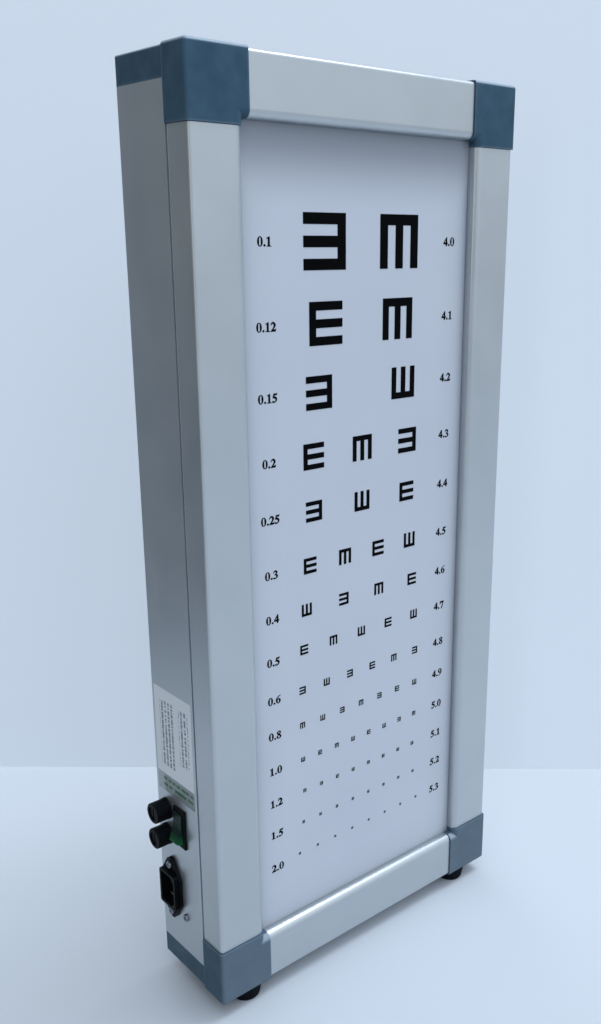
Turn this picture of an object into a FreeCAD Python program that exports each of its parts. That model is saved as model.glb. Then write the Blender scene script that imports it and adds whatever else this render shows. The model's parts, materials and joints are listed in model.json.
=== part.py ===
import FreeCAD, Part
import math
import os

# A lit eye chart for a consulting room: a tall shallow light box that stands on four feet.
# Four aluminium rails make the box. Four snap-open strips hinge on the rails and hold the chart panel.
# The front faces -Y, +X is the viewer's right, +Z is up, and z = 0 is the surface it stands on.
# All sizes are millimetres. "Inset" is measured inwards from a rail's outer face, "depth" is measured
# back from the front face of the strips, and a fitting's "height" is measured out of the left face.

Vector = FreeCAD.Vector
X_AXIS, Y_AXIS, Z_AXIS = Vector(1, 0, 0), Vector(0, 1, 0), Vector(0, 0, 1)

# Whole object
FRAME_W = 284.0
FRAME_H = 650.0
DEPTH = 80.0
PROUD = 1.2
FOOT_H = 12.0

# Gap between neighbours, overrun of a cut past the face it opens, and tolerance for finding an edge
CLEAR = 0.3
PAST = 1.0
NEAR = 0.01

# Fuse caps stand out on the left only, so the box sits to the right by half of that reach
FUSE_REACH = 12.5
BOX_X = (FUSE_REACH - PROUD) / 2

RAIL_W = FRAME_W - 2 * PROUD
RAIL_H = FRAME_H - 2 * PROUD
FRONT_Y = -DEPTH / 2
STRIP_Y = FRONT_Y + PROUD
REAR_DEPTH = DEPTH - PROUD
MID_Z = FOOT_H + FRAME_H / 2
LEFT_X = BOX_X - RAIL_W / 2
CORNER_X = BOX_X - FRAME_W / 2

# Snap-open strips
STRIP_T = 1.5
STRIP_EDGE_R = 2.5
LIP_INSET = 38.5
LIP_R = 5.5
LIP_DEPTH = 7.8
BEAD_R = 2.2
BEAD_DEPTH = 21.9
BEAD_FIT = 0.08

# Chart panel
PANEL_DEPTH = 8.0
PANEL_T = 3.0
PANEL_INSET = 24.0

# Rails
WALL_T = 1.8
WEB_T = 1.5
SEAM_DEPTH = BEAD_DEPTH + BEAD_R + CLEAR
CRADLE_FROM, CRADLE_TO = -75.0, 90.0
SHELF_INSET = 18.5
SHELF_END = 36.0
RIB_T, RIB_GAP, RIB_DEPTH = 1.5, 0.5, 8.6
FLANGE_INSET = 16.0
FLANGE_DEPTH = 74.6
MITRE_GAP = 0.1

# Leaf springs under the strips, spread as a share of the side's length
SPRING_HALF_W, SPRING_T = 9.0, 0.5
SPRING_FOOT, SPRING_CROWN = (8.0, 17.0), (11.5, 13.5)
SPRING_SPREAD = 0.28
SPRING_GAP = 0.8

# Corner caps and rear corners
CAP_LEG = 44.0
CAP_WIDTH = 40.0
CAP_T = 2.0
CAP_LIP_T = 2.6
CAP_EDGE_R = 2.5
CAP_END_DEPTH = 23.4
CAP_BORE_DEPTH = 5.0
BOSS_R = 4.5
BOSS_SINK = 0.5
FOOT_BOSS_H = 8.0
BLOCK_LEG = 18.0
BLOCK_EDGE_R = 1.5
TONGUE_INSET = 9.0
TONGUE_L = 16.0
TONGUE_GAP = 1.0

# Pan-head screws: shares of the head's radius and height give its rounding and its cross recess
HEAD_ROUND, CROSS_ARM, CROSS_W, CROSS_SINK = 0.45, 0.55, 0.22, 0.5
SCREW_FIT = 0.05
SCREW_INSET = 9.0
SCREW_R, HEAD_R, HEAD_H = 1.75, 3.5, 2.2
HEAD_CLEAR = 0.5
CORNER_SCREW_TIP_DEPTH = 6.5

# Back panel with two keyholes for hanging; its screws are placed as shares of each half side
BACK_DEPTH = FLANGE_DEPTH + WEB_T
BACK_Y = STRIP_Y + BACK_DEPTH
BACK_T = 1.0
BACK_INSET = 2.1
KEYHOLE_X, KEYHOLE_Z = 80.0, 560.0
KEYHOLE_R, KEYHOLE_SLOT, KEYHOLE_RISE = 5.0, 5.0, 13.0
BACK_SCREW_INSET = 9.0
BACK_SCREWS_UP = (-0.88, 0.0, 0.88)
BACK_SCREWS_ACROSS = (-0.45, 0.45)
BACK_SCREW_R, BACK_SCREW_L = 1.45, 4.5
BACK_HEAD_R, BACK_HEAD_H = 2.8, 1.1
BACK_BORE_L = 7.0

# Feet
FOOT_X = 112.5
FOOT_Y = 26.0
FOOT_TOP_R = 13.0
FOOT_FLOOR_R = 11.0
FOOT_ROUND = 2.5
FOOT_WELL_R = 4.2
FOOT_WELL_H = 5.0
FOOT_SCREW_GRIP = 6.0

# Mains inlet on the left side: u runs along +Y and v along +Z from its centre
INLET = (24.0, 80.2)
INLET_SCREW_V = 20.3
INLET_FLANGE_T = 2.6
INLET_FLANGE_U, INLET_SHOULDER_V = 12.5, 11.0
INLET_EAR_R, INLET_EAR_SLANT = 5.5, 35.0
INLET_RIM = 6.0
INLET_COLLAR_U, INLET_COLLAR_V, INLET_COLLAR_R = 10.6, 14.6, 2.0
INLET_BODY_U, INLET_BODY_V = 10.2, 14.2
INLET_SOCKET_U, INLET_SOCKET_V, INLET_BEVEL = 8.5, 12.4, 3.5
INLET_FLOOR, INLET_BACK = -11.0, -13.5
PIN_TIP, PIN_TAIL = 1.0, -21.0
PIN_HALF_U, PIN_HALF_V = 2.0, 1.0
PIN_PLACES = ((2.0, -7.0), (2.0, 7.0), (-2.0, 0.0))
INLET_SCREW_R, INLET_SCREW_L = 1.45, 9.0
INLET_HEAD_R, INLET_HEAD_H = 2.9, 1.8
INLET_NUT_FLATS, INLET_NUT_H = 5.5, 2.4

# Rocker switch on the left side
SWITCH = (9.2, 138.4)
SWITCH_BEZEL_T, SWITCH_BEZEL_U, SWITCH_BEZEL_V, SWITCH_BEZEL_R = 2.0, 7.4, 15.6, 0.8
SWITCH_BODY_U, SWITCH_BODY_V = 6.3, 13.8
SWITCH_MOUTH_U, SWITCH_MOUTH_V, SWITCH_MOUTH_FLOOR = 5.5, 12.8, -9.0
SWITCH_BACK = -18.0
PIVOT_HEIGHT = -1.6
TRUNNION_R, TRUNNION_GAP = 1.5, 0.2
ROCKER_TILT = 12.0
ROCKER_TIP = (11.3, 7.0)
ROCKER_END = ((12.0, 2.0), (11.9, -1.5), (7.0, -2.5))
ROCKER_VALLEY = 5.2
ROCKER_TIP_R = 0.7
TAB_HALF_T, TAB_HALF_W = 0.4, 2.2
TAB_ROOT, TAB_TAIL = -14.0, -25.0
SWITCH_TABS = [(u, v) for u in (-2.6, 2.6) for v in (-7.0, 7.0)]

# Fuse holders on the left side
FUSE_Y, FUSE_MID_Z, FUSE_PITCH = 28.0, 135.3, 21.1
FUSES = {
    "upper": (FUSE_Y, FUSE_MID_Z + FUSE_PITCH / 2),
    "lower": (FUSE_Y, FUSE_MID_Z - FUSE_PITCH / 2),
}
HOLDER_FLANGE_R, HOLDER_FLANGE_T = 8.2, 2.0
BARREL_R, BARREL_BACK, BARREL_END_T, BARREL_FIT = 6.2, -36.0, 2.5, 0.2
RING_NUT_R, RING_NUT_H = 7.5, 4.0
STEM_R, STEM_FIT, STEM_END = 4.4, 0.08, -8.0
CAP_R, CAP_RIM_R = 7.9, 0.8
FLUTES, FLUTE_R, FLUTE_AT, FLUTE_BASE = 18, 0.8, 8.4, 1.6
CAP_WELL_R, CAP_WELL_DEEP = 5.4, 0.9
CAP_SLOT_U, CAP_SLOT_V, CAP_SLOT_DEEP = 0.7, 4.4, 2.4
FUSE_R, GLASS_T = 2.9, 0.8
FERRULE_R, FERRULE_L = 3.1, 6.0
FUSE_FRONT, FUSE_BACK = -2.2, -32.2
SOCKET_FIT, SOCKET_GAP = 0.1, 0.2
LUG_U, LUG_HALF_W = 3.0, 1.6
LUG_ROOT, LUG_TAIL = -34.5, -42.0

# Earth screw and labels on the left side
EARTH = (7.4, 61.6)
EARTH_SCREW_R, EARTH_SCREW_TAIL = 1.9, 7.0
EARTH_HEAD_R, EARTH_HEAD_H = 2.9, 2.0
EARTH_NUT_FLATS, EARTH_NUT_H = 7.0, 3.0
LABEL_Y = (-11.5, 37.5)
RATING_LABEL_Z = (175.5, 244.0)
FUSE_LABEL_Z = (160.5, 174.5)
LABEL_T = 0.12

# Lamps and gear inside
TUBE_X, TUBE_DEPTH = 52.0, 54.0
TUBE_Y = STRIP_Y + TUBE_DEPTH
TUBE_XS = {"left": BOX_X - TUBE_X, "right": BOX_X + TUBE_X}
TUBE_L = 549.0
TUBE_R = 7.8
TUBE_CAP_L, TUBE_CAP_T = 8.0, 0.2
TUBE_PIN_R, TUBE_PIN_L, TUBE_PIN_X = 1.15, 7.0, 2.4
TUBE_PIN_FIT, TUBE_PIN_GAP = 0.1, 0.5
HOLDER_HALF_W, HOLDER_T, HOLDER_FRONT, HOLDER_ROUND = 9.0, 11.0, 10.0, 3.0
BALLAST_W, BALLAST_D, BALLAST_H = 36.0, 24.0, 220.0
BALLAST_T, BALLAST_ROUND = 1.0, 2.0
BALLAST_TAB, BALLAST_TAB_T, BALLAST_FOOT_W = 12.0, 1.5, 20.0
BALLAST_HEAD_H, BALLAST_SCREW_TIP = 1.6, 1.0
TERMINAL_W, TERMINAL_D, TERMINAL_H, TERMINAL_Z = 34.0, 14.0, 18.0, 120.0
TERMINAL_WELL_R, TERMINAL_WELL_DEEP = 1.8, 5.0
TERMINAL_WELL_X, TERMINAL_WELL_Z = (-11.0, 0.0, 11.0), (-5.0, 5.0)
WIRE_R = 1.2
BEND_SHARE = 0.45

# Optotypes: each row is a tenth of a log unit smaller, and the arms point up, down, left or right
FIRST_E = 36.36
ROW_RATIO = 10 ** -0.1
PRINT_T = 0.15
TURNS = {"R": 0, "D": 90, "L": 180, "U": 270}
CHART_ROWS = (
    # centre height, half of the row's span, way that the arms point
    (552.1, 33.8, "LD"),
    (499.2, 33.2, "RD"),
    (453.1, 39.6, "LU"),
    (409.6, 44.8, "RDL"),
    (370.3, 45.0, "LUR"),
    (331.0, 49.0, "RDRU"),
    (298.3, 52.5, "ULDR"),
    (268.2, 55.3, "RDURU"),
    (236.6, 57.3, "LULRDL"),
    (208.6, 57.7, "DULDLRU"),
    (180.5, 57.7, "URDURULD"),
    (153.8, 56.4, "DLRUDRUL"),
    (127.6, 57.9, "RULDRLDU"),
    (101.6, 62.0, "LDRULURD"),
)


def box(x, y, z):
    return Part.makeBox(x[1] - x[0], y[1] - y[0], z[1] - z[0], Vector(x[0], y[0], z[0]))


def around(middle, half):
    return middle - half, middle + half


def prism(points, travel):
    return Part.Face(Part.makePolygon([*points, points[0]])).extrude(travel)


def joined(solids):
    return solids[0].fuse(solids[1:]).removeSplitter()


def line(start, end):
    return Part.LineSegment(start, end).toShape()


def arc(start, middle, end):
    return Part.Arc(start, middle, end).toShape()


def on_circle(centre, radius, degrees):
    angle = math.radians(degrees)
    return centre + Vector(radius * math.cos(angle), radius * math.sin(angle), 0)


def turned_to(shape, direction):
    placed = shape.copy()
    turn = FreeCAD.Rotation(Y_AXIS, direction)
    placed.Placement = FreeCAD.Placement(Vector(), turn)
    return placed


def moved(shape, place):
    placed = shape.copy()
    placed.translate(place)
    return placed


def export(name, shape):
    shape.exportStep(f"parts/{name}.step")
    print(f"{name:28s} {len(shape.Solids):3d} solids {shape.Volume / 1000:9.2f} cm3")


def export_group(name, solids):
    export(name, Part.makeCompound(solids))


# Four sides: a piece is drawn along Z with its inset along +X and its depth along +Y, then turned
SIDES = {
    "left": (0, Vector(LEFT_X, STRIP_Y, MID_Z)),
    "right": (180, Vector(LEFT_X + RAIL_W, STRIP_Y, MID_Z)),
    "top": (90, Vector(BOX_X, STRIP_Y, MID_Z + RAIL_H / 2)),
    "bottom": (-90, Vector(BOX_X, STRIP_Y, MID_Z - RAIL_H / 2)),
}


def on_side(shape, side):
    degrees, corner = SIDES[side]
    placed = shape.copy()
    placed.rotate(Vector(), Y_AXIS, degrees)
    placed.translate(corner)
    return placed


def side_length(side):
    return RAIL_H if side in ("left", "right") else RAIL_W


def strip_section():
    # Angle with a rounded lip towards the chart and a hinge bead at its rear edge
    bead = Vector(BEAD_R, BEAD_DEPTH, 0)
    lip = Vector(LIP_INSET - LIP_R, LIP_R, 0)
    edge = Vector(STRIP_EDGE_R, STRIP_EDGE_R, 0)
    neck = math.sqrt(BEAD_R ** 2 - (BEAD_R - STRIP_T) ** 2)
    neck_angle = math.degrees(math.atan2(-neck, STRIP_T - BEAD_R))
    points = [
        Vector(STRIP_EDGE_R, 0, 0),
        Vector(lip.x, 0, 0),
        Vector(LIP_INSET, LIP_R, 0),
        Vector(LIP_INSET, LIP_DEPTH, 0),
        Vector(LIP_INSET - STRIP_T, LIP_DEPTH, 0),
        Vector(LIP_INSET - STRIP_T, LIP_R, 0),
        Vector(lip.x, STRIP_T, 0),
        Vector(STRIP_T, STRIP_T, 0),
        Vector(STRIP_T, BEAD_DEPTH - neck, 0),
        Vector(0, BEAD_DEPTH, 0),
        Vector(0, STRIP_EDGE_R, 0),
    ]
    bulges = {
        1: on_circle(lip, LIP_R, -45),
        5: on_circle(lip, LIP_R - STRIP_T, -45),
        8: on_circle(bead, BEAD_R, (neck_angle + 180) / 2),
        10: on_circle(edge, STRIP_EDGE_R, 225),
    }
    edges = []
    for index, start in enumerate(points):
        end = points[(index + 1) % len(points)]
        edges.append(arc(start, bulges[index], end) if index in bulges else line(start, end))
    return Part.Face(Part.Wire(edges))


def cover_strip(side):
    length = side_length(side) - 2 * (CAP_LEG - PROUD + CLEAR)
    strip = strip_section().extrude(Vector(0, 0, length))
    return on_side(moved(strip, Vector(0, 0, -length / 2)), side)


def hinge_cradle(length):
    bead = Vector(BEAD_R, BEAD_DEPTH, -length / 2)
    inner, outer = BEAD_R + BEAD_FIT, BEAD_R + BEAD_FIT + WEB_T
    first, last, middle = CRADLE_FROM, CRADLE_TO, (CRADLE_FROM + CRADLE_TO) / 2
    edges = [
        arc(on_circle(bead, inner, first), on_circle(bead, inner, middle), on_circle(bead, inner, last)),
        line(on_circle(bead, inner, last), on_circle(bead, outer, last)),
        arc(on_circle(bead, outer, last), on_circle(bead, outer, middle), on_circle(bead, outer, first)),
        line(on_circle(bead, outer, first), on_circle(bead, inner, first)),
    ]
    return Part.Face(Part.Wire(edges)).extrude(Vector(0, 0, length))


def rail(side):
    # Outer wall, seam web, inner wall, panel shelf with a locating rib, rear flange and hinge cradle
    full = side_length(side)
    along = around(0, full / 2 - BLOCK_LEG)
    seat = PANEL_DEPTH + PANEL_T
    web_end = SEAM_DEPTH + WEB_T
    inner_wall = (SHELF_INSET, SHELF_INSET + WEB_T)
    rib_end = PANEL_INSET - RIB_GAP
    whole = joined([
        box((0, WALL_T), (SEAM_DEPTH, REAR_DEPTH), along),
        box((0, inner_wall[1]), (SEAM_DEPTH, web_end), along),
        box(inner_wall, (seat, web_end), along),
        box((SHELF_INSET, SHELF_END), (seat, seat + WEB_T), along),
        box((rib_end - RIB_T, rib_end), (RIB_DEPTH, seat), along),
        box((0, FLANGE_INSET), (FLANGE_DEPTH, BACK_DEPTH), along),
        hinge_cradle(full - 2 * BLOCK_LEG),
    ])
    half = full / 2 - MITRE_GAP
    reach = SHELF_END + PAST
    mitre = prism([
        Vector(-PAST, 0, -half - PAST),
        Vector(reach, 0, -half + reach),
        Vector(reach, 0, half - reach),
        Vector(-PAST, 0, half + PAST),
    ], Vector(0, DEPTH, 0))
    return on_side(whole.common(mitre), side)


def snap_springs():
    # Two bent leaves of spring steel under each strip
    crown_depth = STRIP_T + SPRING_GAP
    profile = [
        Vector(SPRING_FOOT[0], SEAM_DEPTH, 0),
        Vector(SPRING_CROWN[0], crown_depth, 0),
        Vector(SPRING_CROWN[1], crown_depth, 0),
        Vector(SPRING_FOOT[1], SEAM_DEPTH, 0),
        Vector(SPRING_FOOT[1] - SPRING_T, SEAM_DEPTH, 0),
        Vector(SPRING_CROWN[1] - SPRING_T, crown_depth + SPRING_T, 0),
        Vector(SPRING_CROWN[0] + SPRING_T, crown_depth + SPRING_T, 0),
        Vector(SPRING_FOOT[0] + SPRING_T, SEAM_DEPTH, 0),
    ]
    leaf = prism(profile, Vector(0, 0, 2 * SPRING_HALF_W))
    springs = []
    for side in SIDES:
        for sign in (-1, 1):
            along = sign * SPRING_SPREAD * side_length(side) - SPRING_HALF_W
            springs.append(on_side(moved(leaf, Vector(0, 0, along)), side))
    return springs


# Four corners: a piece is drawn for the bottom left and mirrored to the others
CORNERS = {
    "bottom_left": (False, False),
    "bottom_right": (True, False),
    "top_left": (False, True),
    "top_right": (True, True),
}


def at_corner(shape, corner):
    flip_x, flip_z = CORNERS[corner]
    placed = shape.copy()
    if flip_x:
        placed = placed.mirror(Vector(BOX_X, 0, 0), X_AXIS)
    if flip_z:
        placed = placed.mirror(Vector(0, 0, MID_Z), Z_AXIS)
    return placed


def cap_leg():
    # One arm of the cap's face, with the same rounded lip as the strips, lying along +X
    lip = Vector(0, -PROUD + LIP_R, CAP_WIDTH - LIP_R)
    points = [
        Vector(0, -PROUD, 0),
        Vector(0, -PROUD, CAP_WIDTH - LIP_R),
        Vector(0, -PROUD + LIP_R, CAP_WIDTH),
        Vector(0, LIP_DEPTH, CAP_WIDTH),
        Vector(0, LIP_DEPTH, 0),
    ]
    half_turn = LIP_R * math.sqrt(0.5)
    bulge = lip + Vector(0, -half_turn, half_turn)
    edges = [
        line(points[0], points[1]),
        arc(points[1], bulge, points[2]),
        line(points[2], points[3]),
        line(points[3], points[4]),
        line(points[4], points[0]),
    ]
    return Part.Face(Part.Wire(edges)).extrude(Vector(CAP_LEG, 0, 0))


def lies_at(low, high, value):
    return abs(low - value) < NEAR and abs(high - value) < NEAR


def outer_edges(shape, front=None):
    # The edge where a corner's two outer faces meet and, with a front depth, their front edges too
    found = []
    for edge in shape.Edges:
        span = edge.BoundBox
        on_left = lies_at(span.XMin, span.XMax, 0)
        on_base = lies_at(span.ZMin, span.ZMax, 0)
        on_front = front is not None and lies_at(span.YMin, span.YMax, front)
        if (on_left and on_base) or (on_front and (on_left or on_base)):
            found.append(edge)
    return found


def front_cap(with_foot):
    # Moulded shell: a face with two arms, and two side walls that reach back to the seam
    flat_leg = cap_leg()
    upright = flat_leg.mirror(Vector(), Vector(1, 0, -1))
    side_depth = (-PROUD, CAP_END_DEPTH)
    walls = [
        box((0, CAP_T), side_depth, (0, CAP_LEG)),
        box((0, CAP_LEG), side_depth, (0, CAP_T)),
    ]
    shell = joined([flat_leg, upright, *walls])
    shell = shell.makeFillet(CAP_EDGE_R, outer_edges(shell, -PROUD))
    inner_leg, inner_width = CAP_LEG - CAP_T, CAP_WIDTH - CAP_LIP_T
    floor = -PROUD + CAP_T
    hollow_depth = (floor, LIP_DEPTH + PAST)
    hollow = joined([
        box((CAP_T, inner_leg), hollow_depth, (CAP_T, inner_width)),
        box((CAP_T, inner_width), hollow_depth, (CAP_T, inner_leg)),
    ])
    boss_at = PROUD + SCREW_INSET
    boss_start = floor - BOSS_SINK
    boss = Part.makeCylinder(BOSS_R, SEAM_DEPTH - boss_start, Vector(boss_at, boss_start, boss_at), Y_AXIS)
    bore_r = SCREW_R + SCREW_FIT
    bore = Part.makeCylinder(bore_r, DEPTH, Vector(boss_at, CAP_BORE_DEPTH, boss_at), Y_AXIS)
    shell = joined([shell.cut(hollow), boss]).cut(bore)
    if with_foot:
        foot = Vector(FRAME_W / 2 - FOOT_X, DEPTH / 2 - FOOT_Y - PROUD, 0)
        foot_boss = Part.makeCylinder(BOSS_R, FOOT_BOSS_H, foot + Vector(0, 0, CAP_T / 2), Z_AXIS)
        foot_bore = Part.makeCylinder(bore_r, DEPTH, foot - Vector(0, 0, PAST), Z_AXIS)
        shell = joined([shell, foot_boss]).cut(foot_bore)
    return moved(shell, Vector(CORNER_X, STRIP_Y, FOOT_H))


def rear_corner(with_foot):
    # Moulded block between two rails, with a tongue into each rail's channel
    tongue_depth = (SEAM_DEPTH + WEB_T + TONGUE_GAP, FLANGE_DEPTH - CLEAR)
    tongue_along = (BLOCK_LEG - PAST, BLOCK_LEG + TONGUE_L)
    block = box((0, BLOCK_LEG), (SEAM_DEPTH, REAR_DEPTH), (0, BLOCK_LEG))
    block = block.makeFillet(BLOCK_EDGE_R, outer_edges(block))
    block = joined([
        block,
        box((WALL_T, TONGUE_INSET), tongue_depth, tongue_along),
        box(tongue_along, tongue_depth, (WALL_T, TONGUE_INSET)),
    ])
    bore_r = SCREW_R + SCREW_FIT
    bore_start = Vector(SCREW_INSET, SEAM_DEPTH - PAST, SCREW_INSET)
    well_start = Vector(SCREW_INSET, FLANGE_DEPTH, SCREW_INSET)
    block = block.cut(Part.makeCylinder(bore_r, DEPTH, bore_start, Y_AXIS))
    block = block.cut(Part.makeCylinder(HEAD_R + HEAD_CLEAR, DEPTH, well_start, Y_AXIS))
    if with_foot:
        foot = Vector(RAIL_W / 2 - FOOT_X, FOOT_Y - STRIP_Y, 0)
        block = block.cut(Part.makeCylinder(bore_r, TONGUE_INSET + PAST, foot, Z_AXIS))
    return moved(block, Vector(LEFT_X, STRIP_Y, FOOT_H + PROUD))


def pan_screw(length, head_r=HEAD_R, head_h=HEAD_H, shank_r=SCREW_R):
    # Head above the origin, shank along -Y, with a cross recess in the head
    head = Part.makeCylinder(head_r, head_h, Vector(), Y_AXIS)
    rim = [edge for edge in head.Edges if edge.BoundBox.YMin > head_h - NEAR]
    head = head.makeFillet(head_h * HEAD_ROUND, rim)
    arm, half_width = head_r * CROSS_ARM, head_r * CROSS_W / 2
    sink = (head_h * (1 - CROSS_SINK), head_h + PAST)
    cross = joined([
        box(around(0, arm), sink, around(0, half_width)),
        box(around(0, half_width), sink, around(0, arm)),
    ])
    shank = Part.makeCylinder(shank_r, length, Vector(0, -length, 0), Y_AXIS)
    return joined([head.cut(cross), shank])


def corner_screws():
    inset = PROUD + SCREW_INSET
    screw = pan_screw(FLANGE_DEPTH - CORNER_SCREW_TIP_DEPTH)
    screw = moved(screw, Vector(CORNER_X + inset, STRIP_Y + FLANGE_DEPTH, FOOT_H + inset))
    return [at_corner(screw, corner) for corner in CORNERS]


def chart_panel():
    half_w, half_h = RAIL_W / 2 - PANEL_INSET, RAIL_H / 2 - PANEL_INSET
    depth = (STRIP_Y + PANEL_DEPTH, STRIP_Y + PANEL_DEPTH + PANEL_T)
    return box(around(BOX_X, half_w), depth, around(MID_Z, half_h))


def optotype(size, degrees):
    # Square letter of five units: a back stroke and three arms, each one unit thick
    unit = size / 5
    outline = [(0, 0), (5, 0), (5, 1), (1, 1), (1, 2), (5, 2), (5, 3), (1, 3), (1, 4), (5, 4), (5, 5), (0, 5)]
    points = [Vector((u - 2.5) * unit, 0, (v - 2.5) * unit) for u, v in outline]
    letter = prism(points, Vector(0, PRINT_T, 0))
    letter.rotate(Vector(), Y_AXIS, degrees)
    return letter


def chart_print():
    letters = []
    face = STRIP_Y + PANEL_DEPTH - PRINT_T
    for row, (height, half_span, arms) in enumerate(CHART_ROWS):
        size = FIRST_E * ROW_RATIO ** row
        pitch = 2 * half_span / (len(arms) - 1)
        for column, arm in enumerate(arms):
            place = Vector(BOX_X - half_span + column * pitch, face, height)
            letters.append(moved(optotype(size, TURNS[arm]), place))
    return letters


def back_screw_places():
    half_w, half_h = RAIL_W / 2 - BACK_SCREW_INSET, RAIL_H / 2 - BACK_SCREW_INSET
    places = [(sign * half_w, step * half_h) for sign in (-1, 1) for step in BACK_SCREWS_UP]
    places += [(step * half_w, sign * half_h) for sign in (-1, 1) for step in BACK_SCREWS_ACROSS]
    return [Vector(BOX_X + x, BACK_Y + BACK_T, MID_Z + z) for x, z in places]


def back_screw_bore(place):
    start = place - Vector(0, BACK_BORE_L, 0)
    return Part.makeCylinder(BACK_SCREW_R + SCREW_FIT, BACK_BORE_L + PAST, start, Y_AXIS)


def keyhole(x):
    entry = Vector(x, 0, KEYHOLE_Z)
    half_slot = KEYHOLE_SLOT / 2
    return joined([
        Part.makeCylinder(KEYHOLE_R, DEPTH, entry, Y_AXIS),
        box(around(x, half_slot), (0, DEPTH), (KEYHOLE_Z, KEYHOLE_Z + KEYHOLE_RISE)),
        Part.makeCylinder(half_slot, DEPTH, entry + Vector(0, 0, KEYHOLE_RISE), Y_AXIS),
    ])


def back_panel():
    half_w, half_h = RAIL_W / 2 - BACK_INSET, RAIL_H / 2 - BACK_INSET
    sheet = box(around(BOX_X, half_w), (BACK_Y, BACK_Y + BACK_T), around(MID_Z, half_h))
    notch = BLOCK_LEG + CLEAR
    corner = box((LEFT_X, LEFT_X + notch), (0, DEPTH), (FOOT_H, FOOT_H + PROUD + notch))
    for name in CORNERS:
        sheet = sheet.cut(at_corner(corner, name))
    for x in around(BOX_X, KEYHOLE_X):
        sheet = sheet.cut(keyhole(x))
    for place in back_screw_places():
        sheet = sheet.cut(back_screw_bore(place))
    for place in ballast_screw_places():
        sheet = sheet.cut(ballast_screw_bore(place))
    return sheet


def back_panel_screws():
    screw = pan_screw(BACK_SCREW_L, BACK_HEAD_R, BACK_HEAD_H, BACK_SCREW_R)
    return [moved(screw, place) for place in back_screw_places()]


def foot_places():
    return [(x, y) for x in around(BOX_X, FOOT_X) for y in (-FOOT_Y, FOOT_Y)]


def foot_top(y):
    # Front feet meet the corner caps, and rear feet meet the bottom rail
    return FOOT_H if y < 0 else FOOT_H + PROUD


def rubber_foot(top):
    # Turned profile: screw bore and well in the middle, rounded floor edge, sloping side
    bore_r = SCREW_R + SCREW_FIT
    slope = math.atan2(FOOT_TOP_R - FOOT_FLOOR_R, FOOT_H)
    turn = Vector(FOOT_FLOOR_R - FOOT_ROUND, 0, FOOT_ROUND)
    side = turn + Vector(math.cos(slope), 0, -math.sin(slope)) * FOOT_ROUND
    middle = (math.pi / 2 + slope) / 2
    bulge = turn + Vector(math.cos(middle), 0, -math.sin(middle)) * FOOT_ROUND
    points = [
        Vector(bore_r, 0, top),
        Vector(bore_r, 0, FOOT_WELL_H),
        Vector(FOOT_WELL_R, 0, FOOT_WELL_H),
        Vector(FOOT_WELL_R, 0, 0),
        Vector(turn.x, 0, 0),
    ]
    rim = Vector(FOOT_TOP_R, 0, top)
    edges = [line(start, end) for start, end in zip(points, points[1:])]
    edges += [arc(points[-1], bulge, side), line(side, rim), line(rim, points[0])]
    return Part.Face(Part.Wire(edges)).revolve(Vector(), Z_AXIS, 360)


def rubber_feet():
    return [moved(rubber_foot(foot_top(y)), Vector(x, y, 0)) for x, y in foot_places()]


def foot_screws():
    screws = []
    for x, y in foot_places():
        screw = pan_screw(foot_top(y) - FOOT_WELL_H + FOOT_SCREW_GRIP)
        screws.append(moved(turned_to(screw, Vector(0, 0, -1)), Vector(x, y, FOOT_WELL_H)))
    return screws


# Fittings are drawn with u along +Y, v along +Z and height out of the left rail's face
def side_point(centre, height, u, v):
    return Vector(LEFT_X - height, centre[0] + u, centre[1] + v)


def side_box(centre, height, u, v):
    return box((LEFT_X - height[1], LEFT_X - height[0]), (centre[0] + u[0], centre[0] + u[1]),
               (centre[1] + v[0], centre[1] + v[1]))


def side_rod(centre, radius, height, u=0.0, v=0.0):
    start = side_point(centre, height[0], u, v)
    return Part.makeCylinder(radius, height[1] - height[0], start, Vector(-1, 0, 0))


def hex_nut(centre, across_flats, bore_r, height, u=0.0, v=0.0):
    corner_r = across_flats / math.sqrt(3)
    points = []
    for step in range(6):
        angle = math.radians(60 * step)
        corner = (u + corner_r * math.sin(angle), v + corner_r * math.cos(angle))
        points.append(side_point(centre, height[0], *corner))
    nut = prism(points, Vector(height[0] - height[1], 0, 0))
    return nut.cut(side_rod(centre, bore_r, (height[0] - PAST, height[1] + PAST), u, v))


def inlet_flange():
    # Plate with sloping shoulders that run into a round ear at each screw
    ear = Vector(0, 0, INLET_SCREW_V)
    slant = math.radians(INLET_EAR_SLANT)
    tip = ear + Vector(0, math.cos(slant), math.sin(slant)) * INLET_EAR_R
    crown = ear + Vector(0, 0, INLET_EAR_R)
    corner = Vector(0, INLET_FLANGE_U, INLET_SHOULDER_V)

    def flipped(point, u_sign, v_sign):
        return Vector(0, point.y * u_sign, point.z * v_sign)

    edges = [
        line(flipped(corner, 1, -1), corner),
        line(corner, tip),
        arc(tip, crown, flipped(tip, -1, 1)),
        line(flipped(tip, -1, 1), flipped(corner, -1, 1)),
        line(flipped(corner, -1, 1), flipped(corner, -1, -1)),
        line(flipped(corner, -1, -1), flipped(tip, -1, -1)),
        arc(flipped(tip, -1, -1), flipped(crown, 1, -1), flipped(tip, 1, -1)),
        line(flipped(tip, 1, -1), flipped(corner, 1, -1)),
    ]
    flange = Part.Face(Part.Wire(edges)).extrude(Vector(-INLET_FLANGE_T, 0, 0))
    return moved(flange, side_point(INLET, 0, 0, 0))


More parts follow.
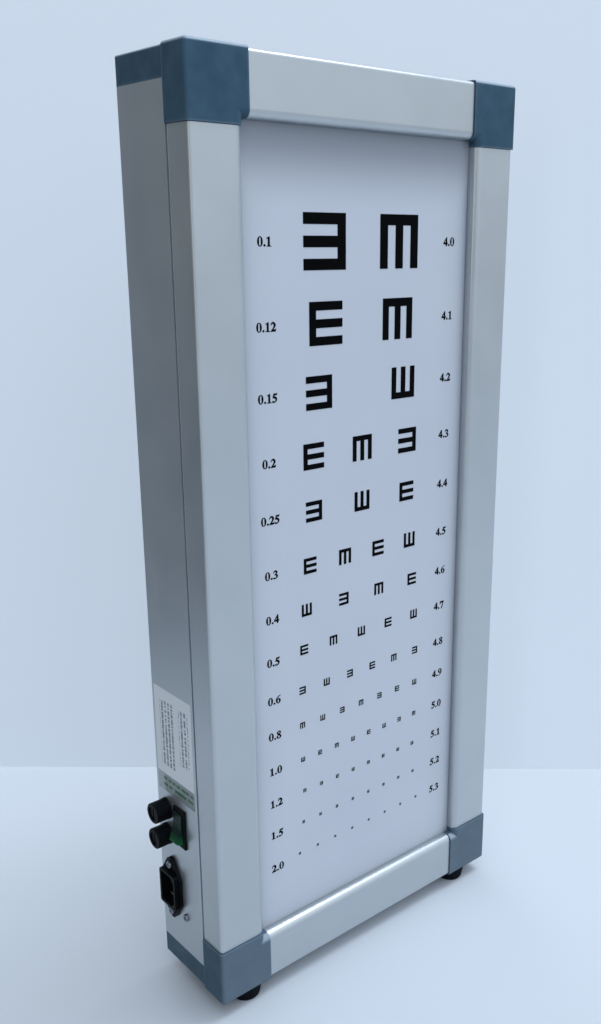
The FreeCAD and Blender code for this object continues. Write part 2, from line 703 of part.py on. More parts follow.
def inlet_body():
    collar = side_box(INLET, (0, INLET_RIM), around(0, INLET_COLLAR_U), around(0, INLET_COLLAR_V))
    corners = [edge for edge in collar.Edges if edge.BoundBox.XLength > INLET_RIM - NEAR]
    collar = collar.makeFillet(INLET_COLLAR_R, corners)
    shell = side_box(INLET, (INLET_BACK, 0), around(0, INLET_BODY_U), around(0, INLET_BODY_V))
    body = joined([inlet_flange(), collar, shell])
    u, v, bevel = INLET_SOCKET_U, INLET_SOCKET_V, INLET_BEVEL
    mouth = [(u, -v), (u, v), (bevel - u, v), (-u, v - bevel), (-u, bevel - v), (bevel - u, -v)]
    points = [side_point(INLET, INLET_FLOOR, *corner) for corner in mouth]
    body = body.cut(prism(points, Vector(INLET_FLOOR - INLET_RIM - PAST, 0, 0)))
    for pin in inlet_pins():
        body = body.cut(pin)
    through = (-PAST, INLET_FLANGE_T + PAST)
    for v in (-INLET_SCREW_V, INLET_SCREW_V):
        body = body.cut(side_rod(INLET, INLET_SCREW_R + SCREW_FIT, through, 0, v))
    return body


def inlet_pins():
    span = (PIN_TAIL, PIN_TIP)
    return [side_box(INLET, span, around(u, PIN_HALF_U), around(v, PIN_HALF_V)) for u, v in PIN_PLACES]


def inlet_screws():
    screw = pan_screw(INLET_SCREW_L, INLET_HEAD_R, INLET_HEAD_H, INLET_SCREW_R)
    screw = turned_to(screw, Vector(-1, 0, 0))
    return [moved(screw, side_point(INLET, INLET_FLANGE_T, 0, v)) for v in (-INLET_SCREW_V, INLET_SCREW_V)]


def inlet_nuts():
    behind = (-WALL_T - INLET_NUT_H, -WALL_T)
    bore_r = INLET_SCREW_R + SCREW_FIT
    return [hex_nut(INLET, INLET_NUT_FLATS, bore_r, behind, 0, v) for v in (-INLET_SCREW_V, INLET_SCREW_V)]


def switch_housing():
    bezel = side_box(SWITCH, (0, SWITCH_BEZEL_T), around(0, SWITCH_BEZEL_U), around(0, SWITCH_BEZEL_V))
    rim = [edge for edge in bezel.Edges if edge.BoundBox.XMax < LEFT_X - SWITCH_BEZEL_T + NEAR]
    bezel = bezel.makeFillet(SWITCH_BEZEL_R, rim)
    body = side_box(SWITCH, (SWITCH_BACK, 0), around(0, SWITCH_BODY_U), around(0, SWITCH_BODY_V))
    mouth_span = (SWITCH_MOUTH_FLOOR, SWITCH_BEZEL_T + PAST)
    mouth = side_box(SWITCH, mouth_span, around(0, SWITCH_MOUTH_U), around(0, SWITCH_MOUTH_V))
    housing = joined([bezel, body]).cut(mouth)
    bore_half = SWITCH_BEZEL_U + PAST
    bore_start = side_point(SWITCH, PIVOT_HEIGHT, -bore_half, 0)
    housing = housing.cut(Part.makeCylinder(TRUNNION_R + SCREW_FIT, 2 * bore_half, bore_start, Y_AXIS))
    for tab in switch_terminals():
        housing = housing.cut(tab)
    return housing


def switch_terminals():
    span = (TAB_TAIL, TAB_ROOT)
    return [side_box(SWITCH, span, around(u, TAB_HALF_T), around(v, TAB_HALF_W)) for u, v in SWITCH_TABS]


def switch_rocker():
    # Profile about the pivot: v along the switch and height out of it; the ends clear the mouth as it tips
    half = [ROCKER_TIP, *ROCKER_END]
    profile = half + [(-v, height) for v, height in reversed(half)] + [(0.0, ROCKER_VALLEY)]
    half_u = SWITCH_MOUTH_U - CLEAR
    points = [Vector(-height, -half_u, v) for v, height in profile]
    rocker = prism(points, Vector(0, 2 * half_u, 0))
    outer = -ROCKER_TIP[1] + NEAR
    tips = [edge for edge in rocker.Edges if edge.BoundBox.XMax < outer and edge.BoundBox.YLength > half_u]
    rocker = rocker.makeFillet(ROCKER_TIP_R, tips)
    reach = SWITCH_BODY_U - TRUNNION_GAP
    rocker = joined([rocker, Part.makeCylinder(TRUNNION_R, 2 * reach, Vector(0, -reach, 0), Y_AXIS)])
    rocker.rotate(Vector(), Y_AXIS, ROCKER_TILT)
    return moved(rocker, side_point(SWITCH, PIVOT_HEIGHT, 0, 0))


def fuse_holder(centre):
    flange = side_rod(centre, HOLDER_FLANGE_R, (0, HOLDER_FLANGE_T))
    barrel = side_rod(centre, BARREL_R, (BARREL_BACK, 0))
    bore = side_rod(centre, STEM_R + STEM_FIT, (BARREL_BACK + BARREL_END_T, HOLDER_FLANGE_T + PAST))
    holder = joined([flange, barrel]).cut(bore)
    for lug in fuse_lugs(centre):
        holder = holder.cut(lug)
    return holder


def fuse_lugs(centre):
    span = (LUG_TAIL, LUG_ROOT)
    return [side_box(centre, span, around(u, TAB_HALF_T), around(0, LUG_HALF_W)) for u in (-LUG_U, LUG_U)]


def fuse_ring_nut(centre):
    behind = (-WALL_T - RING_NUT_H, -WALL_T)
    ring = side_rod(centre, RING_NUT_R, behind)
    return ring.cut(side_rod(centre, BARREL_R + SCREW_FIT, (behind[0] - PAST, behind[1] + PAST)))


def fuse_cap(centre):
    # Fluted knob with a coin slot in its sunk face, and a stem that holds the fuse's outer ferrule
    base = HOLDER_FLANGE_T + CLEAR
    knob = side_rod(centre, CAP_R, (base, FUSE_REACH))
    rim = [edge for edge in knob.Edges if edge.BoundBox.XMax < LEFT_X - FUSE_REACH + NEAR]
    knob = knob.makeFillet(CAP_RIM_R, rim)
    for step in range(FLUTES):
        angle = 2 * math.pi * step / FLUTES
        u, v = FLUTE_AT * math.sin(angle), FLUTE_AT * math.cos(angle)
        knob = knob.cut(side_rod(centre, FLUTE_R, (base + FLUTE_BASE, FUSE_REACH + PAST), u, v))
    knob = knob.cut(side_rod(centre, CAP_WELL_R, (FUSE_REACH - CAP_WELL_DEEP, FUSE_REACH + PAST)))
    slot_span = (FUSE_REACH - CAP_SLOT_DEEP, FUSE_REACH)
    slot = side_box(centre, slot_span, around(0, CAP_SLOT_U), around(0, CAP_SLOT_V))
    stem = side_rod(centre, STEM_R, (STEM_END, base + PAST))
    socket = side_rod(centre, FERRULE_R + SOCKET_FIT, (STEM_END - PAST, FUSE_FRONT + SOCKET_GAP))
    return joined([knob.cut(slot), stem]).cut(socket)


def fuse_ferrules(centre):
    ends = [(FUSE_FRONT - FERRULE_L, FUSE_FRONT), (FUSE_BACK, FUSE_BACK + FERRULE_L)]
    return [side_rod(centre, FERRULE_R, end) for end in ends]


def fuse_glass(centre):
    span = (FUSE_BACK + FERRULE_L, FUSE_FRONT - FERRULE_L)
    return side_rod(centre, FUSE_R, span).cut(side_rod(centre, FUSE_R - GLASS_T, span))


def earth_screw():
    screw = pan_screw(WALL_T + EARTH_SCREW_TAIL, EARTH_HEAD_R, EARTH_HEAD_H, EARTH_SCREW_R)
    screw = turned_to(screw, Vector(-1, 0, 0))
    behind = (-WALL_T - EARTH_NUT_H, -WALL_T)
    nut = hex_nut(EARTH, EARTH_NUT_FLATS, EARTH_SCREW_R + SCREW_FIT, behind)
    return [moved(screw, side_point(EARTH, 0, 0, 0)), nut]


def side_label(height_range):
    return box((LEFT_X - LABEL_T, LEFT_X), LABEL_Y, height_range)


def left_rail():
    # The rail with the openings for its fittings
    through = (-WALL_T - PAST, PAST)
    wall = rail("left")
    for centre, half_u, half_v in (
        (INLET, INLET_BODY_U, INLET_BODY_V),
        (SWITCH, SWITCH_BODY_U, SWITCH_BODY_V),
    ):
        wall = wall.cut(side_box(centre, through, around(0, half_u + CLEAR), around(0, half_v + CLEAR)))
    for centre in FUSES.values():
        wall = wall.cut(side_rod(centre, BARREL_R + BARREL_FIT, through))
    for v in (-INLET_SCREW_V, INLET_SCREW_V):
        wall = wall.cut(side_rod(INLET, INLET_SCREW_R + SCREW_FIT, through, 0, v))
    return wall.cut(side_rod(EARTH, EARTH_SCREW_R + SCREW_FIT, through))


def screwed_rail(side):
    # Rails with the bores for the back panel's screws and, at the bottom, the rear feet's screws
    wall = left_rail() if side == "left" else rail(side)
    for place in back_screw_places():
        wall = wall.cut(back_screw_bore(place))
    if side == "bottom":
        for x, y in foot_places():
            if y > 0:
                length = PROUD + WALL_T + PAST
                wall = wall.cut(Part.makeCylinder(SCREW_R + SCREW_FIT, length, Vector(x, y, FOOT_H), Z_AXIS))
    return wall


def lamp_tube(side):
    length = TUBE_L - 2 * TUBE_CAP_L
    start = Vector(TUBE_XS[side], TUBE_Y, MID_Z - length / 2)
    tube = Part.makeCylinder(TUBE_R, length, start, Z_AXIS)
    return tube.cut(Part.makeCylinder(TUBE_R - GLASS_T, length, start, Z_AXIS))


def tube_ends():
    # Each tube's two ends: its place across, the height of the end and the way that it faces
    return [(x, MID_Z + sign * TUBE_L / 2, sign) for x in TUBE_XS.values() for sign in (-1, 1)]


def lamp_pin(x, end, sign, offset, radius, length):
    start = Vector(x + offset, TUBE_Y, min(end, end + sign * length))
    return Part.makeCylinder(radius, length, start, Z_AXIS)


def lamp_end_caps():
    caps = []
    for x, end, sign in tube_ends():
        low = min(end, end - sign * TUBE_CAP_L)
        cap = Part.makeCylinder(TUBE_R + TUBE_CAP_T, TUBE_CAP_L, Vector(x, TUBE_Y, low), Z_AXIS)
        pins = [lamp_pin(x, end, sign, pin, TUBE_PIN_R, TUBE_PIN_L) for pin in (-TUBE_PIN_X, TUBE_PIN_X)]
        caps.append(joined([cap, *pins]))
    return caps


def lampholders():
    holders = []
    pin_r, pin_l = TUBE_PIN_R + TUBE_PIN_FIT, TUBE_PIN_L + TUBE_PIN_GAP
    front = TUBE_Y - HOLDER_FRONT
    for x, end, sign in tube_ends():
        face = end + sign * CLEAR
        height = (min(face, face + sign * HOLDER_T), max(face, face + sign * HOLDER_T))
        holder = box(around(x, HOLDER_HALF_W), (front, BACK_Y), height)
        rim = [e for e in holder.Edges if lies_at(e.BoundBox.YMin, e.BoundBox.YMax, front)]
        rim = [e for e in rim if e.BoundBox.ZLength > HOLDER_T - NEAR]
        holder = holder.makeFillet(HOLDER_ROUND, rim)
        for pin in (-TUBE_PIN_X, TUBE_PIN_X):
            holder = holder.cut(lamp_pin(x, end, sign, pin, pin_r, pin_l))
        holders.append(holder)
    return holders


def ballast_screw_places():
    reach = BALLAST_H / 2 + BALLAST_TAB / 2
    return [Vector(BOX_X, BACK_Y - BALLAST_TAB_T, MID_Z + sign * reach) for sign in (-1, 1)]


def ballast_screw_bore(place):
    length = BALLAST_TAB_T + BACK_T + 2 * PAST
    return Part.makeCylinder(BACK_SCREW_R + SCREW_FIT, length, place - Vector(0, PAST, 0), Y_AXIS)


def ballast():
    # Folded steel case on a foot plate that reaches past both of its ends
    half_w, half_h = BALLAST_W / 2, BALLAST_H / 2
    front = BACK_Y - BALLAST_D
    case = box(around(BOX_X, half_w), (front, BACK_Y), around(MID_Z, half_h))
    case = case.makeFillet(BALLAST_ROUND, [e for e in case.Edges if e.BoundBox.ZLength > BALLAST_H - NEAR])
    inner_w, inner_h = half_w - BALLAST_T, half_h - BALLAST_T
    inside = box(around(BOX_X, inner_w), (front + BALLAST_T, BACK_Y), around(MID_Z, inner_h))
    foot_height = around(MID_Z, half_h + BALLAST_TAB)
    foot = box(around(BOX_X, BALLAST_FOOT_W / 2), (BACK_Y - BALLAST_TAB_T, BACK_Y), foot_height)
    unit = joined([case.cut(inside), foot])
    for place in ballast_screw_places():
        unit = unit.cut(ballast_screw_bore(place))
    return unit


def ballast_screws():
    # Each goes through the ballast's foot and the back panel, and its tip stands out behind
    length = BALLAST_TAB_T + BACK_T + BALLAST_SCREW_TIP
    screw = pan_screw(length, BACK_HEAD_R, BALLAST_HEAD_H, BACK_SCREW_R)
    screw = turned_to(screw, Vector(0, -1, 0))
    return [moved(screw, place) for place in ballast_screw_places()]


def terminal_block():
    # Moulded block with a row of screw wells for the wires in and one for the wires out
    front = BACK_Y - TERMINAL_D
    block = box(around(BOX_X, TERMINAL_W / 2), (front, BACK_Y), (TERMINAL_Z, TERMINAL_Z + TERMINAL_H))
    middle = TERMINAL_Z + TERMINAL_H / 2
    for x in TERMINAL_WELL_X:
        for z in TERMINAL_WELL_Z:
            start = Vector(BOX_X + x, front - PAST, middle + z)
            well = Part.makeCylinder(TERMINAL_WELL_R, TERMINAL_WELL_DEEP + PAST, start, Y_AXIS)
            block = block.cut(well)
    return block


def wire(points):
    # Straight runs joined by tangent arcs, as large as the shorter run at each bend allows
    edges, last = [], points[0]
    for before, here, after in zip(points, points[1:], points[2:]):
        to_before, to_after = before - here, after - here
        reach = BEND_SHARE * min(to_before.Length, to_after.Length)
        start = here + to_before.normalize() * reach
        end = here + to_after.normalize() * reach
        half_turn = (math.pi - to_before.getAngle(to_after)) / 2
        radius = reach / math.tan(half_turn)
        inwards = (to_before + to_after).normalize()
        middle = here + inwards * (radius / math.cos(half_turn) - radius)
        edges += [line(last, start), arc(start, middle, end)]
        last = end
    edges.append(line(last, points[-1]))
    path = Part.Wire(edges)
    ring = Part.Wire(Part.makeCircle(WIRE_R, points[0], points[1] - points[0]))
    return path.makePipeShell([ring], True, False)


def mains_wires():
    # Inlet to fuses, fuses to switch, switch to terminal block and terminal block to ballast.
    # The points between the ends keep each wire clear of the lamp tube and of the other fittings.
    inlet_live, inlet_neutral = [side_point(INLET, PIN_TAIL, *pin) for pin in (PIN_PLACES[1], PIN_PLACES[0])]
    near = {name: side_point(centre, LUG_TAIL, LUG_U, 0) for name, centre in FUSES.items()}
    far = {name: side_point(centre, LUG_TAIL, -LUG_U, 0) for name, centre in FUSES.items()}
    tabs = [side_point(SWITCH, TAB_TAIL, *tab) for tab in SWITCH_TABS]
    wall = LEFT_X
    behind_tube = BACK_Y - 7.0
    block_face = Vector(BOX_X - TERMINAL_W / 2, BACK_Y - 4.0, TERMINAL_Z + TERMINAL_H / 2)
    routes = [
        [
            inlet_live,
            inlet_live + Vector(17, 0, 0),
            Vector(wall + 65, behind_tube, 93),
            Vector(wall + 66, behind_tube, 138),
            near["upper"] + Vector(16, 0, 0),
            near["upper"],
        ],
        [
            inlet_neutral,
            inlet_neutral + Vector(17, 0, 0),
            Vector(wall + 51, 20, 86),
            Vector(wall + 54, 28, 110),
            near["lower"] + Vector(10, 0, 0),
            near["lower"],
        ],
        [
            tabs[3],
            tabs[3] + Vector(8, 0, 0),
            tabs[3] + Vector(18, -1, 18),
            Vector(wall + 63, behind_tube, 165),
            Vector(wall + 95, behind_tube, 140),
            block_face + Vector(-12, 0, 4),
            block_face + Vector(0, 0, 4),
        ],
        [
            tabs[2],
            tabs[2] + Vector(9, 0, 0),
            tabs[2] + Vector(20, 0, 6),
            Vector(wall + 60, 20, 138),
            Vector(wall + 78, behind_tube, 128),
            block_face + Vector(-12, 0, -4),
            block_face + Vector(0, 0, -4),
        ],
    ]
    for name, tab in (("upper", tabs[1]), ("lower", tabs[0])):
        routes.append([
            far[name],
            far[name] + Vector(10, 0, 0),
            tab + Vector(24, 0, (far[name].z - tab.z) / 2),
            tab + Vector(10, 0, 0),
            tab,
        ])
    for shift in (-5.0, 5.0):
        start = Vector(BOX_X + shift, BACK_Y - TERMINAL_D / 2, TERMINAL_Z + TERMINAL_H)
        end = Vector(BOX_X + shift, BACK_Y - BALLAST_D / 2, MID_Z - BALLAST_H / 2)
        routes.append([start, start + Vector(0, 0, 30), end - Vector(0, 0, 30), end])
    return [wire(route) for route in routes]


def earth_wire():
    start = side_point(INLET, PIN_TAIL, *PIN_PLACES[2])
    end = side_point(EARTH, -WALL_T - EARTH_SCREW_TAIL, 0, 0)
    return wire([start, start + Vector(10, 0, 0), Vector(start.x + 10, end.y, end.z), end])


def lamp_wires():
    # A lead from the ballast to each lampholder
    wires = []
    for x, end, sign in tube_ends():
        side = math.copysign(1, x - BOX_X)
        start = Vector(BOX_X + side * 14, BACK_Y - BALLAST_D / 2, MID_Z + sign * BALLAST_H / 2)
        holder_z = end + sign * (CLEAR + HOLDER_T / 2)
        lane = Vector(x - side * 26, BACK_Y - BALLAST_D / 2, start.z + sign * 60)
        turn = Vector(lane.x, lane.y, holder_z)
        stop = Vector(x - side * HOLDER_HALF_W, lane.y, holder_z)
        wires.append(wire([start, start + Vector(0, 0, sign * 24), lane, turn, stop]))
    return wires


def main():
    os.makedirs("parts", exist_ok=True)
    for side in SIDES:
        export(f"{side}_rail", screwed_rail(side))
        export(f"{side}_cover_strip", cover_strip(side))
    export_group("snap_springs", snap_springs())
    for corner in CORNERS:
        with_foot = corner.startswith("bottom")
        export(f"front_cap_{corner}", at_corner(front_cap(with_foot), corner))
        export(f"rear_corner_{corner}", at_corner(rear_corner(with_foot), corner))
    export_group("corner_screws", corner_screws())
    export("chart_panel", chart_panel())
    export_group("chart_print", chart_print())
    export("back_panel", back_panel())
    export_group("back_panel_screws", back_panel_screws())
    export_group("rubber_feet", rubber_feet())
    export_group("foot_screws", foot_screws())
    export("inlet_body", inlet_body())
    export_group("inlet_pins", inlet_pins())
    export_group("inlet_screws", inlet_screws())
    export_group("inlet_nuts", inlet_nuts())
    export("switch_housing", switch_housing())
    export("switch_rocker", switch_rocker())
    export_group("switch_terminals", switch_terminals())
    for name, centre in FUSES.items():
        export(f"{name}_fuse_holder", fuse_holder(centre))
        export(f"{name}_fuse_cap", fuse_cap(centre))
        export(f"{name}_fuse_glass", fuse_glass(centre))
        export_group(f"{name}_fuse_ferrules", fuse_ferrules(centre))
    export_group("fuse_ring_nuts", [fuse_ring_nut(centre) for centre in FUSES.values()])
    export_group("fuse_lugs", [lug for centre in FUSES.values() for lug in fuse_lugs(centre)])
    export_group("earth_screw", earth_screw())
    export("rating_label", side_label(RATING_LABEL_Z))
    export("fuse_label", side_label(FUSE_LABEL_Z))
    for side in TUBE_XS:
        export(f"{side}_lamp_tube", lamp_tube(side))
    export_group("lamp_end_caps", lamp_end_caps())
    export_group("lampholders", lampholders())
    export("ballast", ballast())
    export_group("ballast_screws", ballast_screws())
    export("terminal_block", terminal_block())
    export_group("mains_wires", mains_wires())
    export("earth_wire", earth_wire())
    export_group("lamp_wires", lamp_wires())


main()
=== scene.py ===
# %% [markdown]
# # Eye chart light box
# The object is a tall, shallow light box for testing eyesight. An aluminium frame with plastic corners
# holds an opal panel, and the panel carries rows of E figures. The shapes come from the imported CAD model,
# so this lesson gives each piece its real finish, prints the numbers beside the rows, and then sets up
# floor, light and camera.

# %% Load the CAD model
import json
import math

import bpy
from mathutils import Matrix, Vector


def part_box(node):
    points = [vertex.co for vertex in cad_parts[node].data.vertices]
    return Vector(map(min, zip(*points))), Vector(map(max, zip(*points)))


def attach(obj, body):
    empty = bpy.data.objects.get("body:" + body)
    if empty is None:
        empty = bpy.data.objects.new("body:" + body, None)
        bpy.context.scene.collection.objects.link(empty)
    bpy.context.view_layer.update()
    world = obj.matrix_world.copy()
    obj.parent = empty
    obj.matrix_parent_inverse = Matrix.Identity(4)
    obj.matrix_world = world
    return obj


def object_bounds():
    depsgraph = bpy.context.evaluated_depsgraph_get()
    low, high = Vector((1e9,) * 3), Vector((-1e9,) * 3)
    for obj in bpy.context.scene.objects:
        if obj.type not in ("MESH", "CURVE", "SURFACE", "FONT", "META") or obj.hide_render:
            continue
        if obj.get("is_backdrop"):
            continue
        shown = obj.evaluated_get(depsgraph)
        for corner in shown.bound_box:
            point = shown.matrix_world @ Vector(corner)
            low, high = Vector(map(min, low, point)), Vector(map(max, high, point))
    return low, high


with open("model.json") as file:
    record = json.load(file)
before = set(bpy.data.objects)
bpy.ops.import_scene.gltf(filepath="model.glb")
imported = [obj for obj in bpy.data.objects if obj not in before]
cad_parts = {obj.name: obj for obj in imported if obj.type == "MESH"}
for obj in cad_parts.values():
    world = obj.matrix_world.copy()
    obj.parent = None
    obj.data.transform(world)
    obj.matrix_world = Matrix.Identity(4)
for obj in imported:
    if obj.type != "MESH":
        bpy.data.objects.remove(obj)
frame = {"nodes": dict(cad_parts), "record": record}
nodes = frame["nodes"]
cad_box = [list(corner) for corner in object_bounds()]
MM = 0.001
print(len(nodes), "CAD nodes, size in mm:", [round((high - low) / MM, 1) for low, high in zip(*cad_box)])

# %% [markdown]
# ## Tools for the finishes
# A finish is a small network of shader nodes. Colours could be typed as linear numbers, but a maker reads
# them as the hex codes of a paint card, so one function converts them. Textures read Object coordinates,
# which are metres here, so the scale of a pattern follows from its spacing on the real thing. Sockets that
# share a name are given by number: in a Map Range, 1 and 2 are the range it reads and 3 and 4 the range it
# gives, and in a Mix of colours, 0 is the share and 6 and 7 are the colours.

# %% Colour, spacing and node tools
def colour(code):
    """A hex sRGB code as linear RGBA, by the curve of that standard."""
    shares = [int(code[place:place + 2], 16) / 255 for place in (1, 3, 5)]
    return (*[s / 12.92 if s <= 0.04045 else ((s + 0.055) / 1.055) ** 2.4 for s in shares], 1.0)


def per_metre(spacing_mm):
    """A texture's scale, from the spacing of the real pattern."""
    return 1 / (spacing_mm * MM)


def add(tree, kind, sockets=None, **settings):
    """One node with its own settings, and a value or a link for each socket that is given."""
    node = tree.nodes.new("ShaderNode" + kind)
    for name, value in settings.items():
        setattr(node, name, value)
    for socket, value in (sockets or {}).items():
        if isinstance(value, bpy.types.NodeSocket):
            tree.links.new(value, node.inputs[socket])
        else:
            node.inputs[socket].default_value = value
    return node


def start_finish(name, **values):
    """A named material: its tree, its shader with the even values set, and the coordinates it reads."""
    material = bpy.data.materials.new(name)
    material.use_nodes = True
    shader = material.node_tree.nodes["Principled BSDF"]
    for socket, value in values.items():
        shader.inputs[socket.replace("_", " ")].default_value = value
    place = add(material.node_tree, "TexCoord").outputs["Object"]
    return material, material.node_tree, shader, place


NOISE_LOW, NOISE_HIGH = 0.3, 0.7  # a noise texture mostly stays between these
finishes = {}
print("the corners' slate grey in linear numbers:", [round(share, 3) for share in colour("#355265")[:3]])

# %% [markdown]
# ## Satin anodised aluminium
# The rails and strips are extruded aluminium, etched satin and anodised silver. The die leaves very fine
# lines along each length, and the etch makes the metal soft and even with faint clouds. A brushed look
# would be too strong, so the lines only vary the roughness and a shallow bump. The upright and the level
# pieces need the lines in different directions, so one function makes both.

# %% Satin anodised aluminium
DIE_LINES = 0.9  # mm; real die lines are finer than a tenth of this, and would not show
LINE_DEPTH = 0.05  # mm
DRAWN_OUT = 0.01  # the lines are a hundred times as long as they are wide
CLOUDS = 45.0  # mm
ETCH_SMOOTH, ETCH_DULL = 0.3, 0.42  # roughness of the metal in its brightest and its dullest patches
BOTH_LOW, BOTH_HIGH = 0.7, 1.3  # two noises added together mostly stay between these


def anodised_aluminium(name, stretch):
    # Etched and anodised: the clear oxide scatters light, so it is pale grey with a metal sheen
    material, tree, metal, place = start_finish(name, Metallic=0.85)
    drawn = add(tree, "Mapping", {"Vector": place, "Scale": stretch}).outputs["Vector"]
    fine = {"Vector": drawn, "Scale": per_metre(DIE_LINES), "Detail": 3.0}
    lines = add(tree, "TexNoise", fine).outputs[0]
    clouds = add(tree, "TexNoise", {"Vector": place, "Scale": per_metre(CLOUDS), "Detail": 5.0}).outputs[0]
    tint = add(tree, "Mix", {0: clouds, 6: colour("#B9BFC3"), 7: colour("#C4C9CC")}, data_type="RGBA")
    both = add(tree, "Math", {0: lines, 1: clouds}, operation="ADD").outputs[0]
    rough = add(tree, "MapRange", {0: both, 1: BOTH_LOW, 2: BOTH_HIGH, 3: ETCH_SMOOTH, 4: ETCH_DULL})
    bump = add(tree, "Bump", {"Height": lines, "Strength": 0.12, "Distance": LINE_DEPTH * MM})
    tree.links.new(tint.outputs[2], metal.inputs["Base Color"])
    tree.links.new(rough.outputs[0], metal.inputs["Roughness"])
    tree.links.new(bump.outputs[0], metal.inputs["Normal"])
    return material


upright_aluminium = anodised_aluminium("Satin anodised aluminium, lines upright", (1.0, 1.0, DRAWN_OUT))
level_aluminium = anodised_aluminium("Satin anodised aluminium, lines level", (DRAWN_OUT, 1.0, 1.0))
print("made", upright_aluminium.name, "and", level_aluminium.name)

# %% [markdown]
# ## Moulded plastics and rubber
# The corners are slate grey moulded plastic with a fine spark-eroded grain, the inlet and switch are black,
# and the feet are rubber. A moulding is even in colour. Its edges are painted paler, partly as handling
# wear and partly as a painted highlight, the rims that lean upwards get a painted highlight, and the fronts
# of the lower corners are painted paler as a painted reflection of the bright floor. The Bevel node rounds
# the normal near an edge, and where that differs from the true normal the edge colour shows. The rims are
# found from the way that a face leans, and the painted reflection from a face's height and facing. A
# painted map could hold all this too, but it would fit one piece only. The white lampholders are mouldings
# too, and the wires' extruded plastic looks much the same, so one function serves them all with their
# own colours and grain.

# %% A moulding's finish
MOTTLE = 14.0  # mm
MOTTLE_FROM, MOTTLE_FULL = 0.35, 0.65  # levels of the noise where the mottling starts and is full
SHEEN_TOP, SHEEN_SHARE = 620.0, 0.48  # mm up to which the painted floor reflection reaches, and its share at the floor
SHEEN_ON_SIDES = 0.15  # how much of the painted reflection the sides keep, against the fronts
RUBBED_AND_HIGHLIT_SHARE = 0.3  # how far an edge goes towards the edge colour, as wear and painted highlight
PALE_EDGE_TURN = 0.85  # cosine between the rounded and the true normal where an edge is fully paled
RIM_FROM, RIM_FULL = 0.1, 0.5  # how far up a face looks, of 1, where the painted highlight on rims starts and is full
RIM_FADES = 0.93  # and where it fades again, to nothing on a level face
GRAIN_SPREAD = 0.07  # how far the grain moves the roughness each way


def moulded(name, face, mottle, edge_and_highlight, edge_mm, grain_mm, roughness, relief_mm, gloss=0.5, painted_sheen=None):
    # Moulded: even colour, mottling, a dull grain from the mould, edges paled as wear and painted highlight
    material, tree, plastic, place = start_finish(name, Specular_IOR_Level=gloss)
    grain = add(tree, "TexNoise", {"Vector": place, "Scale": per_metre(grain_mm), "Detail": 2.0}).outputs[0]
    clouds = add(tree, "TexNoise", {"Vector": place, "Scale": per_metre(MOTTLE), "Detail": 4.0}).outputs[0]
    patch = add(tree, "MapRange", {0: clouds, 1: MOTTLE_FROM, 2: MOTTLE_FULL}).outputs[0]
    body = add(tree, "Mix", {0: patch, 6: colour(face), 7: colour(mottle)}, data_type="RGBA").outputs[2]
    true_normal = add(tree, "NewGeometry").outputs["Normal"]
    way = add(tree, "SeparateXYZ", {0: true_normal})
    # Painted reflection: the low fronts are painted paler, where the bright floor would light them
    if painted_sheen:
        height = add(tree, "SeparateXYZ", {0: place}).outputs["Z"]
        sheen_low = add(tree, "MapRange", {0: height, 1: SHEEN_TOP * MM, 2: 0.0, 4: SHEEN_SHARE}).outputs[0]
        sheen_front = add(tree, "MapRange", {0: way.outputs["Y"], 1: 0.0, 2: -1.0, 3: SHEEN_ON_SIDES}).outputs[0]
        wipe_marks_and_painted_sheen = add(tree, "Math", {0: sheen_low, 1: sheen_front}, operation="MULTIPLY").outputs[0]
        body = add(tree, "Mix", {0: wipe_marks_and_painted_sheen, 6: body, 7: colour(painted_sheen)}, data_type="RGBA").outputs[2]
    # The edges are painted paler, partly as handling wear and partly as a painted highlight
    soft_normal = add(tree, "Bevel", {"Radius": edge_mm * MM}, samples=4).outputs[0]
    both = {0: soft_normal, 1: true_normal}
    turn = add(tree, "VectorMath", both, operation="DOT_PRODUCT").outputs["Value"]
    rubbed_and_highlit = add(tree, "MapRange", {0: turn, 1: 1.0, 2: PALE_EDGE_TURN, 4: RUBBED_AND_HIGHLIT_SHARE}).outputs[0]
    lean = way.outputs["Z"]
    # Painted highlight: rims that lean upwards are painted paler, where light from above would catch them
    leans_up = add(tree, "MapRange", {0: lean, 1: RIM_FROM, 2: RIM_FULL}).outputs[0]
    not_level = add(tree, "MapRange", {0: lean, 1: 1.0, 2: RIM_FADES}).outputs[0]
    painted_rim_highlight = add(tree, "Math", {0: leans_up, 1: not_level}, operation="MULTIPLY").outputs[0]
    wear_and_highlight = add(tree, "Math", {0: rubbed_and_highlit, 1: painted_rim_highlight}, operation="MAXIMUM").outputs[0]
    worn_and_highlit = add(tree, "Mix", {0: wear_and_highlight, 6: body, 7: colour(edge_and_highlight)}, data_type="RGBA")
    low, high = roughness - GRAIN_SPREAD, roughness + GRAIN_SPREAD
    rough = add(tree, "MapRange", {0: grain, 1: NOISE_LOW, 2: NOISE_HIGH, 3: low, 4: high})
    bump = add(tree, "Bump", {"Height": grain, "Strength": 0.35, "Distance": relief_mm * MM})
    tree.links.new(worn_and_highlit.outputs[2], plastic.inputs["Base Color"])
    tree.links.new(rough.outputs[0], plastic.inputs["Roughness"])
    tree.links.new(bump.outputs[0], plastic.inputs["Normal"])
    return material


print("a moulding's grain moves its roughness by", GRAIN_SPREAD, "each way")

